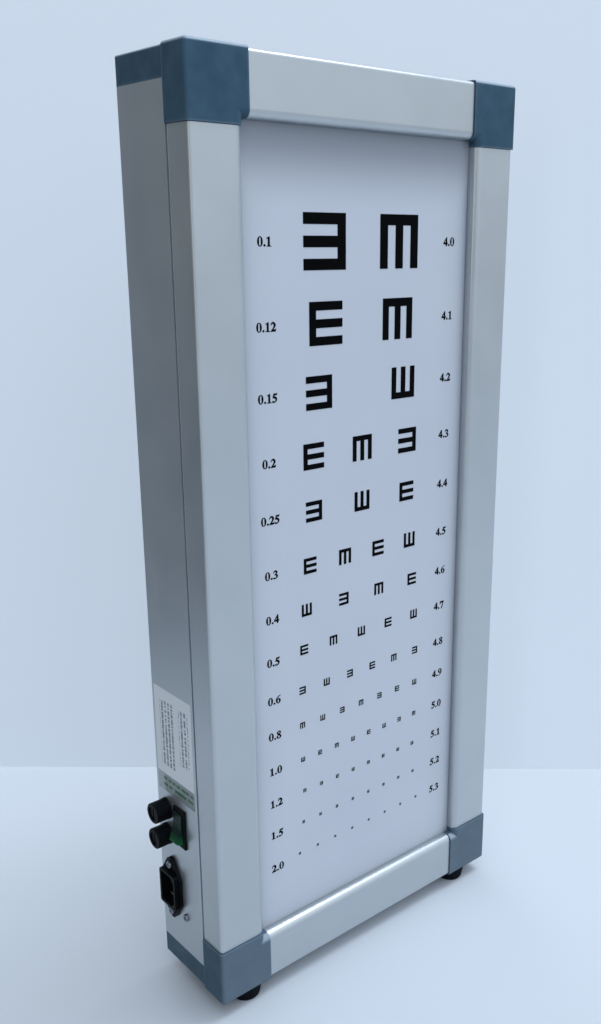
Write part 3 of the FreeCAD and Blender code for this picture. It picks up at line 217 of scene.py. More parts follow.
# %% The mouldings
# The slate corners carry a painted floor reflection on their low fronts, and painted highlights on edges
finishes["corner_plastic"] = moulded(
    "Slate grey ABS, spark-eroded grain", "#355265", "#3F5C70", "#93A3B1",
    edge_mm=2.4, grain_mm=0.7, roughness=0.36, relief_mm=0.05, gloss=0.12, painted_sheen="#838E98")
finishes["black_plastic"] = moulded(
    "Black polyamide, moulded", "#090B0E", "#0E1114", "#171B20",
    edge_mm=0.4, grain_mm=0.6, roughness=0.42, relief_mm=0.03, gloss=0.06)
finishes["cap_plastic"] = moulded(
    "Black phenolic, moulded and tumbled", "#06070A", "#0B0D10", "#13161B",
    edge_mm=0.3, grain_mm=0.8, roughness=0.36, relief_mm=0.02, gloss=0.06)
finishes["foot_rubber"] = moulded(
    "Black rubber, moulded", "#0A0D12", "#10141A", "#161B22",
    edge_mm=0.8, grain_mm=0.5, roughness=0.7, relief_mm=0.05, gloss=0.06)
finishes["white_plastic"] = moulded(
    "White PBT, moulded", "#DADCDA", "#E2E3E0", "#EDEDEA",
    edge_mm=0.5, grain_mm=0.8, roughness=0.4, relief_mm=0.02)
finishes["wire_pvc"] = moulded(
    "Blue PVC, extruded over wire", "#234A86", "#2B5593", "#3E68A6",
    edge_mm=0.3, grain_mm=1.0, roughness=0.38, relief_mm=0.02)
finishes["earth_pvc"] = moulded(
    "Green PVC, extruded over wire", "#3E7D2F", "#B7B02B", "#5C9440",
    edge_mm=0.3, grain_mm=1.0, roughness=0.38, relief_mm=0.02)
print("moulded finishes:", sorted(finishes))

# %% [markdown]
# ## Bare and plated metals
# Screws are zinc plated, pins and terminals are brass under nickel, the springs are rolled steel, and the
# fuses and lamps end in thin caps. Each is a metal with fine wear: small scratches and a slightly duller
# tone in patches. The scratches are a stretched noise, which stays cheaper than drawing lines.

# %% Bare and plated metals
DULL_PATCH = 4.0  # mm
SCRATCH_DEPTH = 0.02  # mm
SCRATCH_RUN = 0.15  # the scratches are about seven times as long as they are wide
SCRATCH_SPREAD = 0.05  # how far a scratch moves the roughness each way


def metal(name, bright, dull, roughness, scratch_mm):
    # Plated or rolled: a bright metal, dulled in patches, with short scratches that break up its highlights
    material, tree, shader, place = start_finish(name, Metallic=1.0)
    along = add(tree, "Mapping", {"Vector": place, "Scale": (1.0, SCRATCH_RUN, 1.0)}).outputs["Vector"]
    short = {"Vector": along, "Scale": per_metre(scratch_mm), "Detail": 4.0}
    scratch = add(tree, "TexNoise", short).outputs[0]
    broad = {"Vector": place, "Scale": per_metre(DULL_PATCH), "Detail": 3.0}
    patch = add(tree, "TexNoise", broad).outputs[0]
    tint = add(tree, "Mix", {0: patch, 6: colour(bright), 7: colour(dull)}, data_type="RGBA")
    low, high = roughness - SCRATCH_SPREAD, roughness + SCRATCH_SPREAD
    rough = add(tree, "MapRange", {0: scratch, 1: NOISE_LOW, 2: NOISE_HIGH, 3: low, 4: high})
    bump = add(tree, "Bump", {"Height": scratch, "Strength": 0.15, "Distance": SCRATCH_DEPTH * MM})
    tree.links.new(tint.outputs[2], shader.inputs["Base Color"])
    tree.links.new(rough.outputs[0], shader.inputs["Roughness"])
    tree.links.new(bump.outputs[0], shader.inputs["Normal"])
    return material


finishes["screw_steel"] = metal(
    "Steel, bright zinc plated", "#979DA5", "#6A7078", roughness=0.34, scratch_mm=0.5)
finishes["contact_brass"] = metal(
    "Brass, nickel plated", "#E3DCC8", "#C3B48C", roughness=0.22, scratch_mm=0.6)
finishes["ferrule_metal"] = metal(
    "Brass, tinned", "#D8D6CF", "#B4B1A8", roughness=0.22, scratch_mm=0.6)
finishes["lamp_cap_metal"] = metal(
    "Aluminium, drawn", "#CFD3D8", "#B0B5BC", roughness=0.34, scratch_mm=0.8)
finishes["spring_steel"] = metal(
    "Spring steel, rolled and blued", "#7C828C", "#565D69", roughness=0.36, scratch_mm=0.7)
print("metal finishes added:", len(finishes), "in all")

# %% [markdown]
# ## Opal acrylic and its print
# The chart panel is cast opal acrylic: milky white all through, with a polished face that mirrors the room
# faintly. The light inside is off, so no glow is needed. A cast sheet is never quite flat, so a broad
# shallow bump lets its reflections waver, and wiped patches change its gloss. Shade is painted into its
# colour: Ambient Occlusion darkens it in the angle along the lips, and the height darkens it under the top
# lip as a painted shadow. The figures are black screen ink, flat and nearly matt.

# %% The opal panel
SHEET_WAVE, WIPE_MARKS = 90.0, 35.0  # mm
WAVE_DEPTH = 1.0  # mm
WIPED_GLOSS, WIPED_DULL = 0.12, 0.26  # roughness where a cloth polished the face and where it left marks
LIP_SHADE, LIP_SHARE = 30.0, 0.6  # mm over which painted shade darkens the lips' angle, and how much at most
SHADOW_FROM, SHADOW_TO, SHADOW_SHARE = 570.0, 622.0, 0.65  # painted shadow: mm up from none to the top lip, and its share

# Cast acrylic, polished: milky white with a mirror's faint gloss, and painted shade along the lips
material, tree, acrylic, place = start_finish("Opal acrylic, cast and polished", IOR=1.49)
wave = add(tree, "TexNoise", {"Vector": place, "Scale": per_metre(SHEET_WAVE), "Detail": 1.0}).outputs[0]
wipe_marks_and_painted_sheen = add(tree, "TexNoise", {"Vector": place, "Scale": per_metre(WIPE_MARKS), "Detail": 6.0}).outputs[0]
milk = add(tree, "Mix", {0: wave, 6: colour("#C9CFDB"), 7: colour("#D1D6E1")}, data_type="RGBA").outputs[2]
gloss = add(tree, "MapRange", {0: wipe_marks_and_painted_sheen, 1: 0.25, 2: 0.75, 3: WIPED_GLOSS, 4: WIPED_DULL})
waver = add(tree, "Bump", {"Height": wave, "Strength": 0.2, "Distance": WAVE_DEPTH * MM})
# Painted shade: darker in the angle along the lips, and a painted shadow under the top lip
corner = add(tree, "AmbientOcclusion", {"Distance": LIP_SHADE * MM}, samples=8).outputs["AO"]
painted_lip_shade = add(tree, "MapRange", {0: corner, 1: 1.0, 2: 0.5, 4: LIP_SHARE}).outputs[0]
up = add(tree, "SeparateXYZ", {0: place}).outputs["Z"]
rise = {0: up, 1: SHADOW_FROM * MM, 2: SHADOW_TO * MM, 4: SHADOW_SHARE}
top_lip_shadow = add(tree, "MapRange", rise, interpolation_type="SMOOTHSTEP").outputs[0]
painted_shade = add(tree, "Math", {0: painted_lip_shade, 1: top_lip_shadow}, operation="MAXIMUM").outputs[0]
shaded_milk = add(tree, "Mix", {0: painted_shade, 6: milk, 7: colour("#59616B")}, data_type="RGBA")
tree.links.new(shaded_milk.outputs[2], acrylic.inputs["Base Color"])
tree.links.new(gloss.outputs[0], acrylic.inputs["Roughness"])
tree.links.new(waver.outputs[0], acrylic.inputs["Normal"])
finishes["opal_acrylic"] = material
print("panel:", material.name)

# %% The screen ink
SCREEN_MESH = 0.9  # mm; a printing screen is about ten times finer, and would not show
INK_RELIEF = 0.02  # mm

# Screen ink: a thin matt film that takes a little of the screen's texture
material, tree, ink, place = start_finish("Black screen ink, printed", Specular_IOR_Level=0.03)
weave = {"Vector": place, "Scale": per_metre(SCREEN_MESH), "Detail": 2.0}
mesh_marks = add(tree, "TexNoise", weave).outputs[0]
black = add(tree, "Mix", {0: mesh_marks, 6: colour("#020203"), 7: colour("#060709")}, data_type="RGBA")
dull = add(tree, "MapRange", {0: mesh_marks, 1: NOISE_LOW, 2: NOISE_HIGH, 3: 0.42, 4: 0.6})
film = add(tree, "Bump", {"Height": mesh_marks, "Strength": 0.2, "Distance": INK_RELIEF * MM})
tree.links.new(black.outputs[2], ink.inputs["Base Color"])
tree.links.new(dull.outputs[0], ink.inputs["Roughness"])
tree.links.new(film.outputs[0], ink.inputs["Normal"])
finishes["print_black"] = material
print("print on the panel:", material.name)

# %% [markdown]
# ## Labels on the left side
# A white film label and a clear one below it sit above the fuses. Small print is far below what the eye
# resolves here, so it is drawn as plain ruled dashes with no letters. The rules could be modelled, but ink
# has no thickness to show, so the nodes cut the coordinates into lines, break each line with noise, and
# keep the block inside its margins.

# %% Ruled dashes
DASH_CUT = 0.45  # level of the noise above which a line is inked


def ruled_dashes(tree, place, along, across, run, block, pitch, stroke, dash):
    """1 on the dashes of a block of rules and 0 elsewhere; run and block are (middle, half) in mm."""
    in_mm = add(tree, "VectorMath", {0: place, "Scale": 1 / MM}, operation="SCALE").outputs[0]
    axes = add(tree, "SeparateXYZ", {0: in_mm})
    length, height = axes.outputs[along], axes.outputs[across]
    wrapped = add(tree, "Math", {0: height, 1: pitch, 2: 0.0}, operation="WRAP").outputs[0]
    line = add(tree, "Math", {0: wrapped, 1: stroke}, operation="LESS_THAN").outputs[0]
    number = add(tree, "Math", {0: height, 1: pitch}, operation="SNAP").outputs[0]
    spot = add(tree, "CombineXYZ", {0: number, 1: length}).outputs[0]
    broken = add(tree, "TexNoise", {"Vector": spot, "Scale": 1 / dash, "Detail": 1.0}).outputs[0]
    gaps = add(tree, "Math", {0: broken, 1: DASH_CUT}, operation="GREATER_THAN").outputs[0]
    inside = add(tree, "Math", {0: length, 1: run[0], 2: run[1]}, operation="COMPARE").outputs[0]
    within = add(tree, "Math", {0: height, 1: block[0], 2: block[1]}, operation="COMPARE").outputs[0]
    marks = line
    for limit in (gaps, inside, within):
        marks = add(tree, "Math", {0: marks, 1: limit}, operation="MULTIPLY").outputs[0]
    return marks


GREY_RULES = {"pitch": 4.3, "stroke": 2.4, "dash": 1.3}  # mm: line to line, thickness, length of a dash
GREEN_RULES = {"pitch": 5.0, "stroke": 2.2, "dash": 3.6}  # mm
print("rules on the white label", GREY_RULES["pitch"], "mm apart, on the clear one", GREEN_RULES["pitch"])

# %% The white label
WHITE_TONE = 20.0  # mm

# White polyester film: bright and nearly flat, a little glossy, with grey print
material, tree, label, place = start_finish("White polyester film, printed grey")
rear_block = ruled_dashes(tree, place, "Z", "Y", run=(209.0, 26.0), block=(21.5, 9.0), **GREY_RULES)
front_block = ruled_dashes(tree, place, "Z", "Y", run=(213.0, 22.0), block=(-1.0, 6.0), **GREY_RULES)
print_grey = add(tree, "Math", {0: rear_block, 1: front_block}, operation="MAXIMUM").outputs[0]
tone = add(tree, "TexNoise", {"Vector": place, "Scale": per_metre(WHITE_TONE), "Detail": 3.0}).outputs[0]
white = add(tree, "Mix", {0: tone, 6: colour("#ECF2F7"), 7: colour("#F4F8FB")}, data_type="RGBA").outputs[2]
paper = add(tree, "Mix", {0: print_grey, 6: white, 7: colour("#868D98")}, data_type="RGBA")
sheen = add(tree, "MapRange", {0: tone, 1: NOISE_LOW, 2: NOISE_HIGH, 3: 0.34, 4: 0.5})
tree.links.new(paper.outputs[2], label.inputs["Base Color"])
tree.links.new(sheen.outputs[0], label.inputs["Roughness"])
finishes["label_film"] = material
print("upper label:", material.name)

# %% The clear label
CLEAR_TONE = 12.0  # mm
BARE_COVER, INK_COVER = 0.2, 0.7  # how much the bare film and its print hide

# Clear polyester film: only its gloss and its green print show over the aluminium
material, tree, clear, place = start_finish("Clear polyester film, printed green")
print_green = ruled_dashes(tree, place, "Y", "Z", run=(10.0, 20.0), block=(168.0, 5.0), **GREEN_RULES)
tone = add(tree, "TexNoise", {"Vector": place, "Scale": per_metre(CLEAR_TONE), "Detail": 3.0}).outputs[0]
tinted = add(tree, "Mix", {0: print_green, 6: colour("#DCE8E2"), 7: colour("#2E7D4A")}, data_type="RGBA")
cover = add(tree, "MapRange", {0: print_green, 3: BARE_COVER, 4: INK_COVER})
sheen = add(tree, "MapRange", {0: tone, 1: NOISE_LOW, 2: NOISE_HIGH, 3: 0.18, 4: 0.27})
tree.links.new(tinted.outputs[2], clear.inputs["Base Color"])
tree.links.new(cover.outputs[0], clear.inputs["Alpha"])
tree.links.new(sheen.outputs[0], clear.inputs["Roughness"])
finishes["clear_film"] = material
print("lower label:", material.name)

# %% [markdown]
# ## Rocker, glass and paint
# The rocker is green polycarbonate. Its lower end is painted a clearer, brighter green than the rest, as a
# painted glow of light coming through it. Light inside the switch could give that, but the switch is off.
# The fuses are clear glass, the lamps are glass with white powder inside, and the back is powder-coated
# steel with the fine orange-peel skin of such paint.

# %% The rocker
ROCKER_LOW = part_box("switch_rocker")[0].z
GLOW_END = 9.0  # mm at the rocker's lower end that is painted brighter, as a glow of light through it
FLOW_MARKS = 3.0  # mm

# Polycarbonate, moulded and glossy: deep green, painted brighter at the lower end as a glow of light
# through it
material, tree, rocker, place = start_finish(
    "Green polycarbonate, moulded", IOR=1.58, Specular_IOR_Level=0.12, Transmission_Weight=0.1)
height = add(tree, "SeparateXYZ", {0: place}).outputs["Z"]
# Painted glow: the colour brightens towards the lower end, as if light came through it
lower_end_glow = add(tree, "MapRange", {0: height, 1: ROCKER_LOW + GLOW_END * MM, 2: ROCKER_LOW}).outputs[0]
flow = add(tree, "TexNoise", {"Vector": place, "Scale": per_metre(FLOW_MARKS), "Detail": 3.0}).outputs[0]
painted_glow = add(tree, "Math", {0: lower_end_glow, 1: flow}, operation="MULTIPLY").outputs[0]
green = add(tree, "Mix", {0: painted_glow, 6: colour("#05231A"), 7: colour("#17924E")}, data_type="RGBA")
shine = add(tree, "MapRange", {0: flow, 1: NOISE_LOW, 2: NOISE_HIGH, 3: 0.28, 4: 0.4})
tree.links.new(green.outputs[2], rocker.inputs["Base Color"])
tree.links.new(shine.outputs[0], rocker.inputs["Roughness"])
finishes["rocker_green"] = material
print("rocker:", material.name, "from", round(ROCKER_LOW / MM, 1), "mm up")

# %% The fuses' glass
GLASS_RIPPLE = 6.0  # mm

# Soda glass, drawn: clear, with a faint green and slow ripples
material, tree, glass, place = start_finish("Soda glass, drawn", IOR=1.52, Transmission_Weight=1.0)
slow = {"Vector": place, "Scale": per_metre(GLASS_RIPPLE), "Detail": 1.0}
ripple = add(tree, "TexNoise", slow).outputs[0]
faint = add(tree, "Mix", {0: ripple, 6: colour("#EEF6F2"), 7: colour("#F8FCFA")}, data_type="RGBA")
polish = add(tree, "MapRange", {0: ripple, 3: 0.02, 4: 0.08})
tree.links.new(faint.outputs[2], glass.inputs["Base Color"])
tree.links.new(polish.outputs[0], glass.inputs["Roughness"])
finishes["fuse_glass"] = material
print("fuses:", material.name)

# %% The lamps' glass
POWDER_GRAIN = 2.5  # mm; the powder itself is far too fine to show

# Glass over white powder: a soft even white under a clear gloss
material, tree, lamp, place = start_finish(
    "Glass tube, powder-coated inside", Coat_Weight=0.8, Coat_Roughness=0.04)
specks = {"Vector": place, "Scale": per_metre(POWDER_GRAIN), "Detail": 4.0}
powder = add(tree, "TexNoise", specks).outputs[0]
chalk = add(tree, "Mix", {0: powder, 6: colour("#E6E8E6"), 7: colour("#F2F3F1")}, data_type="RGBA")
matt = add(tree, "MapRange", {0: powder, 3: 0.5, 4: 0.75})
tree.links.new(chalk.outputs[2], lamp.inputs["Base Color"])
tree.links.new(matt.outputs[0], lamp.inputs["Roughness"])
finishes["lamp_glass"] = material
print("lamps:", material.name)

# %% The back's paint
PAINT_PEEL, PEEL_DEPTH = 1.4, 0.08  # mm from dimple to dimple, and how deep they are
PAINT_DRIFT = 70.0  # mm

# Powder coat, sprayed and baked: an even pale grey with a dimpled skin
material, tree, paint, place = start_finish("Steel, powder-coated pale grey")
peel = add(tree, "TexNoise", {"Vector": place, "Scale": per_metre(PAINT_PEEL), "Detail": 2.0}).outputs[0]
drift = add(tree, "TexNoise", {"Vector": place, "Scale": per_metre(PAINT_DRIFT), "Detail": 4.0}).outputs[0]
grey = add(tree, "Mix", {0: drift, 6: colour("#B7BEC7"), 7: colour("#C6CCD4")}, data_type="RGBA")
satin = add(tree, "MapRange", {0: drift, 1: NOISE_LOW, 2: NOISE_HIGH, 3: 0.4, 4: 0.55})
dimples = add(tree, "Bump", {"Height": peel, "Strength": 0.3, "Distance": PEEL_DEPTH * MM})
tree.links.new(grey.outputs[2], paint.inputs["Base Color"])
tree.links.new(satin.outputs[0], paint.inputs["Roughness"])
tree.links.new(dimples.outputs[0], paint.inputs["Normal"])
finishes["painted_steel"] = material
print("back:", material.name, "and", len(finishes), "finishes by slot in all")

# %% [markdown]
# ## Dress the CAD pieces
# The record says which material slot each CAD piece belongs to, so most finishes go on by slot. Only the
# aluminium differs within its slot: the top and bottom lengths take the level lines, and the sides the
# upright ones.

# %% Put the finishes on
for part in frame["record"]["subparts"]:
    piece, slot = nodes[part["node"]], part["material_slot"]
    if slot == "anodised_aluminium":
        lies_level = part["node"].startswith(("top_", "bottom_"))
        finish = level_aluminium if lies_level else upright_aluminium
    else:
        finish = finishes[slot]
    for holder in piece.material_slots:
        holder.material = finish

# %% [markdown]
# ## Numbers beside the rows
# Each row of the chart has its value printed at both ends, in a bold face with serifs. The built-in letters
# have no serifs, so the ten numerals and the point are drawn here as flat curves. A knot is a smooth one,
# or a corner where it has a third entry. Each numeral is drawn once, made a mesh, and copied into every
# number that uses it.

# %% The numerals' outlines
NUMERAL_H, WIDER = 5.9, 1.07  # mm, and how much each numeral is widened
DRAWN_H = 700.0  # height that the knots are drawn at
STEP, POINT_STEP = 500.0, 260.0  # width that a numeral and a point take up, as drawn
V = "corner"
SIX_TURN = (500, 690)  # a nine is a six turned half round, and this is where the six's origin goes
SIX = [
    [(472, 700, V), (205, 590), (28, 285), (250, -10), (474, 215), (300, 432), (172, 392), (250, 570),
     (474, 678, V)],
    [(245, 372), (334, 205), (252, 25), (166, 220)],
]
NUMERALS = {
    "0": [[(250, 700), (474, 350), (250, -8), (26, 350)], [(250, 664), (336, 350), (250, 28), (164, 350)]],
    "1": [[(72, 0, V), (72, 24, V), (150, 34, V), (182, 66, V), (182, 552, V), (160, 586, V), (70, 570, V),
           (70, 594, V), (300, 700, V), (322, 700, V), (322, 66, V), (354, 34, V), (432, 24, V),
           (432, 0, V)]],
    "2": [[(22, 0, V), (432, 0, V), (478, 182, V), (454, 182, V), (400, 128, V), (190, 128, V), (378, 320),
           (440, 505), (246, 700), (78, 620), (24, 480, V), (50, 474, V), (110, 566), (190, 596),
           (298, 470), (220, 265), (22, 22, V)]],
    "3": [[(36, 520, V), (108, 652), (246, 700), (412, 560), (336, 400), (456, 212), (200, -8), (58, 18),
           (26, 66), (70, 114), (140, 82), (214, 42), (324, 172), (262, 296), (150, 334, V), (150, 360, V),
           (252, 424), (288, 512), (196, 612), (60, 506, V)]],
    "4": [[(272, 0, V), (408, 0, V), (408, 152, V), (480, 152, V), (480, 264, V), (408, 264, V),
           (408, 700, V), (336, 700, V), (20, 244, V), (20, 152, V), (272, 152, V)],
          [(272, 264, V), (92, 264, V), (272, 530, V)]],
    "5": [[(148, 690, V), (424, 690, V), (450, 716, V), (468, 708, V), (420, 572, V), (192, 572, V),
           (172, 500, V), (352, 420), (446, 238), (192, -8), (54, 18), (24, 70), (72, 118), (148, 84),
           (214, 56), (330, 196), (232, 330), (66, 366, V)]],
    "6": SIX,
    "7": [[(20, 690, V), (480, 690, V), (480, 662, V), (262, -10, V), (170, -10, V), (376, 556, V),
           (150, 556, V), (82, 520, V), (40, 446, V), (14, 454, V)]],
    "8": [[(250, 700), (438, 545), (350, 384), (472, 180), (246, -8), (28, 168), (150, 340), (58, 538)],
          [(252, 664), (326, 550), (268, 430), (166, 566)],
          [(220, 302), (342, 146), (250, 26), (148, 176)]],
    "9": [[(SIX_TURN[0] - x, SIX_TURN[1] - y, *corner) for x, y, *corner in outline] for outline in SIX],
    ".": [[(130, 142), (204, 68), (130, -6), (56, 68)]],
}
print("outlines for", "".join(NUMERALS))

# %% Draw the numerals
INK_T, BOLDER = 0.1, 0.16  # mm that the ink stands up, and that each stroke spreads
UP = NUMERAL_H * MM / DRAWN_H  # metres upwards for each unit drawn
ALONG = UP * WIDER  # and metres along the number
ROUNDNESS = 6  # steps between two knots


def draw_numeral(outlines):
    """One numeral as a thin mesh that lies flat at the origin, its foot on the X axis."""
    bpy.ops.curve.primitive_bezier_circle_add()
    curve = bpy.context.object.data
    curve.splines.clear()
    curve.dimensions, curve.fill_mode, curve.resolution_u = "2D", "BOTH", ROUNDNESS
    curve.extrude = INK_T * MM / 2
    curve.offset = BOLDER * MM
    for knots in outlines:
        spline = curve.splines.new("BEZIER")
        spline.bezier_points.add(len(knots) - 1)
        spline.use_cyclic_u = True
        for point, (x, y, *corner) in zip(spline.bezier_points, knots):
            point.co = (x * ALONG, y * UP, 0)
            point.handle_left_type = point.handle_right_type = "VECTOR" if corner else "AUTO"
    bpy.ops.object.convert(target="MESH")
    return bpy.context.object


masters = {name: draw_numeral(outlines) for name, outlines in NUMERALS.items()}
print("drew", len(masters), "signs with", sum(len(m.data.polygons) for m in masters.values()), "faces")

# %% Where the numbers go
PANEL_MIDDLE_X = sum(corner.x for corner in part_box("chart_panel")) / 2
PANEL_FRONT_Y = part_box("chart_panel")[0].y
ROW_HEIGHTS = (  # mm up to the middle of each row of figures, as in the CAD model
    552.1, 499.2, 453.1, 409.6, 370.3, 331.0, 298.3, 268.2, 236.6, 208.6, 180.5, 153.8, 127.6, 101.6)
COLUMNS = {  # mm from the middle of the panel, and the numbers from the top down
    "left": (-83.0, "0.1 0.12 0.15 0.2 0.25 0.3 0.4 0.5 0.6 0.8 1.0 1.2 1.5 2.0".split()),
    "right": (84.0, "4.0 4.1 4.2 4.3 4.4 4.5 4.6 4.7 4.8 4.9 5.0 5.1 5.2 5.3".split()),
}
DROPS = {"0.5": 2.0, "2.0": 2.3}  # mm that these two numbers sit below their rows
print(len(ROW_HEIGHTS), "rows from", ROW_HEIGHTS[-1], "to", ROW_HEIGHTS[0], "mm up")

# %% Set the numbers in two columns
def width(text):
    """Metres that a number takes up."""
    return sum(POINT_STEP if sign == "." else STEP for sign in text) * ALONG


def set_number(text, middle_x, middle_z):
    """Copies of the numerals stood on the panel's face, side by side and centred on a place."""
    signs, x = [], middle_x - width(text) / 2
    for sign in text:
        copy = masters[sign].copy()
        copy.data = masters[sign].data.copy()
        bpy.context.collection.objects.link(copy)
        copy.location = (x, PANEL_FRONT_Y - INK_T * MM / 2, middle_z - NUMERAL_H * MM / 2)
        copy.rotation_euler.x = math.radians(90)
        signs.append(copy)
        x += width(sign)
    return signs


for side, (offset, values) in COLUMNS.items():
    signs = []
    for text, row in zip(values, ROW_HEIGHTS):
        signs += set_number(text, PANEL_MIDDLE_X + offset * MM, (row - DROPS.get(text, 0.0)) * MM)
    bpy.ops.object.select_all(action="DESELECT")
    for sign in signs:
        sign.select_set(True)
    bpy.context.view_layer.objects.active = signs[0]
    bpy.ops.object.join()
    column = bpy.context.object
    bpy.ops.object.transform_apply(location=True, rotation=True, scale=True)
    column.name = column.data.name = f"chart_numbers_{side}"
    column.data.materials.append(finishes["print_black"])
    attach(column, "box")
    print(column.name, "has", len(values), "numbers and", len(column.data.polygons), "faces")

bpy.ops.object.select_all(action="DESELECT")
for master in masters.values():
    master.select_set(True)
bpy.ops.object.delete()

# %% [markdown]
# ## Camera
# The photograph was taken from the front left, a little above the middle and close by, with a wide lens.
# Its place and angles were worked out from the edges of the frame. The picture was also cropped, so the
# lens is shifted to put the view's centre back where it was.

# %% The camera
CAMERA_AT = (-0.464916, -0.559476, 0.554259)  # metres
TURN, DIP, ROLL = 41.6371, 16.3044, 0.2627  # degrees: to the right, downwards, and about the view
FOCAL_PX, CENTRE_PX = 1000.548, (361.2995, 530.9149)  # pixels
IMAGE_W, IMAGE_H = 601, 1024  # pixels
SENSOR_W = 36.0  # mm

bpy.ops.object.camera_add(location=CAMERA_AT)
camera = bpy.context.object
turned = Matrix.Rotation(math.radians(-TURN), 3, "Z")
dipped = Matrix.Rotation(math.radians(90 - DIP), 3, "X")
rolled = Matrix.Rotation(math.radians(ROLL), 3, "Z")
camera.rotation_euler = (turned @ dipped @ rolled).to_euler()
camera.data.sensor_width = SENSOR_W
camera.data.lens = FOCAL_PX / IMAGE_H * SENSOR_W
camera.data.shift_x = (IMAGE_W / 2 - CENTRE_PX[0]) / IMAGE_H
camera.data.shift_y = (CENTRE_PX[1] - IMAGE_H / 2) / IMAGE_H
bpy.context.scene.camera = camera
shift = [round(share, 4) for share in (camera.data.shift_x, camera.data.shift_y)]
print("lens", round(camera.data.lens, 2), "mm, shift", shift)

# %% [markdown]
# ## Floor and wall
# The box stands on a pale table in front of a pale wall that faces the camera. Two planes are enough: the
# floor goes all round, and the wall stands up behind. The room is darker on the far left, out of the
# picture, and the box's left side mirrors that. From behind, the wall would hide the box, so its back is
# made clear, and it neither blocks nor throws back light.

# %% Paint for floor and wall
STAGE_DRIFT = 300.0  # mm
SHADE_FROM, SHADE_TO = 0.45, 0.98  # metres to the camera's left between which the room falls into shade
FAR_LEFT_SHARE = 0.15  # how much of the paint's own colour is left there
TO_THE_RIGHT = Vector((math.cos(math.radians(TURN)), -math.sin(math.radians(TURN)), 0))


def lit_share(tree):
    """1 in the part of the room behind the box, and little on the far left, which its left side mirrors."""
    place = add(tree, "TexCoord").outputs["Object"]
    across = add(tree, "VectorMath", {0: place, 1: TO_THE_RIGHT}, operation="DOT_PRODUCT").outputs["Value"]
    start = TO_THE_RIGHT.dot(Vector(CAMERA_AT))
    fall = {0: across, 1: start - SHADE_FROM, 2: start - SHADE_TO, 3: 1.0, 4: FAR_LEFT_SHARE}
    return add(tree, "MapRange", fall).outputs[0]


def stage_paint(name, shade, paler):
    # Paint or laminate: an even cool white with a soft drift of tone, dark on the far left
    material, tree, surface, place = start_finish(name, Roughness=0.6)
    broad = {"Vector": place, "Scale": per_metre(STAGE_DRIFT), "Detail": 3.0}
    drift = add(tree, "TexNoise", broad).outputs[0]
    pale = add(tree, "Mix", {0: drift, 6: colour(shade), 7: colour(paler)}, data_type="RGBA").outputs[2]
    shaded = {0: lit_share(tree), 6: colour("#39424C"), 7: pale}
    paint = add(tree, "Mix", shaded, data_type="RGBA").outputs[2]
    return material, tree, surface, paint


def seen_directly(tree):
    """1 for the camera, a gloss or a glass, and 0 for light thrown from one surface to another."""
    ray = add(tree, "LightPath").outputs
    seen = ray["Is Camera Ray"]
    for kind in ("Is Glossy Ray", "Is Transmission Ray"):
        seen = add(tree, "Math", {0: seen, 1: ray[kind]}, operation="MAXIMUM").outputs[0]
    return seen


print("the camera's right is", [round(part, 2) for part in TO_THE_RIGHT])

# %% The floor
FLOOR_SIZE = 8.0  # metres

bpy.ops.mesh.primitive_plane_add(size=FLOOR_SIZE)
floor = bpy.context.object
floor.name = floor.data.name = "floor"
material, tree, surface, paint = stage_paint("Pale laminate, satin", "#C2C9D2", "#C9D0D8")
# The floor throws up less light than it shows, so the undersides and the left side stay in shade
shown = add(tree, "Mix", {0: seen_directly(tree), 6: colour("#838D97"), 7: paint}, data_type="RGBA")
tree.links.new(shown.outputs[2], surface.inputs["Base Color"])
floor.data.materials.append(material)
floor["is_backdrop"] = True
print("floor", FLOOR_SIZE, "m square")

# %% The wall
WALL_AWAY = 0.974  # metres from the camera to the wall
WALL_FROM, WALL_TO, WALL_H = -1.8, 0.7, 1.5  # metres to the camera's left and right, and up
WALL_GLOW = 0.38  # what the wall gives off by itself where it is looked at, because it stands in weak light

middle = ((WALL_FROM + WALL_TO) / 2, WALL_AWAY, WALL_H / 2)
bpy.ops.mesh.primitive_plane_add(size=1.0, location=middle, rotation=(math.radians(90), 0, 0))
wall = bpy.context.object
wall.scale = (WALL_TO - WALL_FROM, WALL_H, 1.0)
wall.name = wall.data.name = "wall"
bpy.ops.object.transform_apply(location=True, rotation=True, scale=True)
wall.rotation_euler.z = math.radians(-TURN)
wall.location = (CAMERA_AT[0], CAMERA_AT[1], 0)
bpy.ops.object.transform_apply(location=True, rotation=True)
wall.visible_diffuse = wall.visible_shadow = False
material, tree, surface, paint = stage_paint("White wall paint, rolled", "#D0D8E2", "#D7DEE7")
lit = add(tree, "Math", {0: seen_directly(tree), 1: lit_share(tree)}, operation="MULTIPLY").outputs[0]
glow = add(tree, "MapRange", {0: lit, 4: WALL_GLOW})
surface.inputs["Emission Color"].default_value = colour("#CEDAE8")
tree.links.new(paint, surface.inputs["Base Color"])
tree.links.new(glow.outputs[0], surface.inputs["Emission Strength"])
behind = add(tree, "NewGeometry").outputs["Backfacing"]
nothing = add(tree, "BsdfTransparent").outputs[0]
one_sided = add(tree, "MixShader", {0: behind, 1: surface.outputs[0], 2: nothing})
tree.links.new(one_sided.outputs[0], tree.nodes["Material Output"].inputs["Surface"])
wall.data.materials.append(material)
wall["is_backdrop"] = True
front = [round(part, 2) for part in wall.data.polygons[0].normal]
print("wall faces", front, "and stands", WALL_AWAY, "m away")

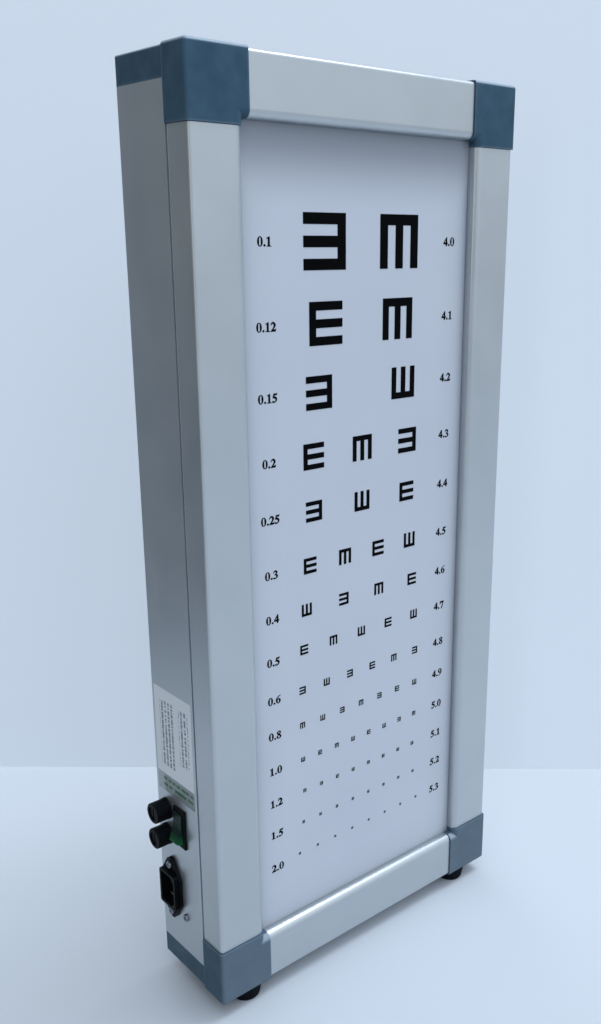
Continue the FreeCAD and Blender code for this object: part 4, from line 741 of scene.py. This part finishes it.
# %% [markdown]
# ## Light
# Cool daylight fills the room, brightest above and in front of the box, so the front is bright and the left
# side falls into shade. Strong lamps would give that too, but satin metal mirrors a lamp as a white patch,
# so most of the light comes from the world. One lamp high on the right draws the shadow under the box and
# the bright line along its top edge, a narrow one on the left stands for a window and draws the line down
# the front left edge, and one behind lights the back. The light that the dark side of the room throws back
# is a little warmer.

# %% The lamps
DAYLIGHT = "#E0EAF5"
BOX_MIDDLE = (0.0, 0.0, 0.33)  # metres
LEFT_SIDE = (-0.14, 0.0, 0.33)  # metres


def soft_lamp(name, place, aim, wide, long, watts):
    """An area lamp, in metres, that lights the box and isn't seen itself."""
    bpy.ops.object.light_add(type="AREA", location=place)
    lamp = bpy.context.object
    lamp.name = name
    lamp.data.shape, lamp.data.energy = "RECTANGLE", watts
    lamp.data.size, lamp.data.size_y = wide, long
    lamp.data.color = colour(DAYLIGHT)[:3]
    lamp.visible_camera = False
    way = Vector(aim) - lamp.location
    lamp.rotation_euler = way.to_track_quat("-Z", "Y").to_euler()


soft_lamp("ceiling_lamp", (1.05, -0.4, 2.5), BOX_MIDDLE, wide=1.0, long=1.0, watts=32.0)
soft_lamp("back_lamp", (0.4, 2.2, 1.2), BOX_MIDDLE, wide=1.8, long=1.2, watts=16.0)
soft_lamp("window_lamp", (-1.75, -1.1, 0.8), LEFT_SIDE, wide=0.3, long=1.2, watts=2.5)

# %% The room's light
ROOM_SHADE = "#EDEADF"  # a little warmer than daylight
BRIGHT_SIDE = (0.2, -0.52, 0.83)  # the way to the room's brightest side
BRIGHT_LEVEL, DARK_LEVEL = 1.72, 0.26  # how bright the room is straight that way, and away from it
BRIGHTENS_FROM = 0.2  # where the light starts to rise, 1 being straight at the bright side
COOL_FROM = 0.5  # where it has all of daylight's colour

sky = bpy.data.worlds.new("Pale room")
sky.use_nodes = True
room = sky.node_tree
towards = add(room, "TexCoord").outputs["Generated"]
facing = add(room, "VectorMath", {0: towards, 1: BRIGHT_SIDE}, operation="DOT_PRODUCT").outputs["Value"]
level = add(room, "MapRange", {0: facing, 1: BRIGHTENS_FROM, 2: 1.0, 3: DARK_LEVEL, 4: BRIGHT_LEVEL})
bright = add(room, "MapRange", {0: facing, 1: 0.0, 2: COOL_FROM}).outputs[0]
shade = add(room, "Mix", {0: bright, 6: colour(ROOM_SHADE), 7: colour(DAYLIGHT)}, data_type="RGBA")
room.links.new(shade.outputs[2], room.nodes["Background"].inputs["Color"])
room.links.new(level.outputs[0], room.nodes["Background"].inputs["Strength"])
bpy.context.scene.world = sky
bpy.context.scene.view_settings.view_transform = "Standard"
print("room:", sky.name, "with levels from", DARK_LEVEL, "to", BRIGHT_LEVEL)

# %% [markdown]
# ## Measure and finish
# The dressed object must keep the CAD model's size, so the visual box is printed against the CAD box.

# %% Measure and finish
visual_box = [list(corner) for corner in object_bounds()]
grown = [round((seen - made) / MM, 2) for seen, made in zip(sum(visual_box, []), sum(cad_box, []))]
print("visual box against CAD box, mm:", grown)
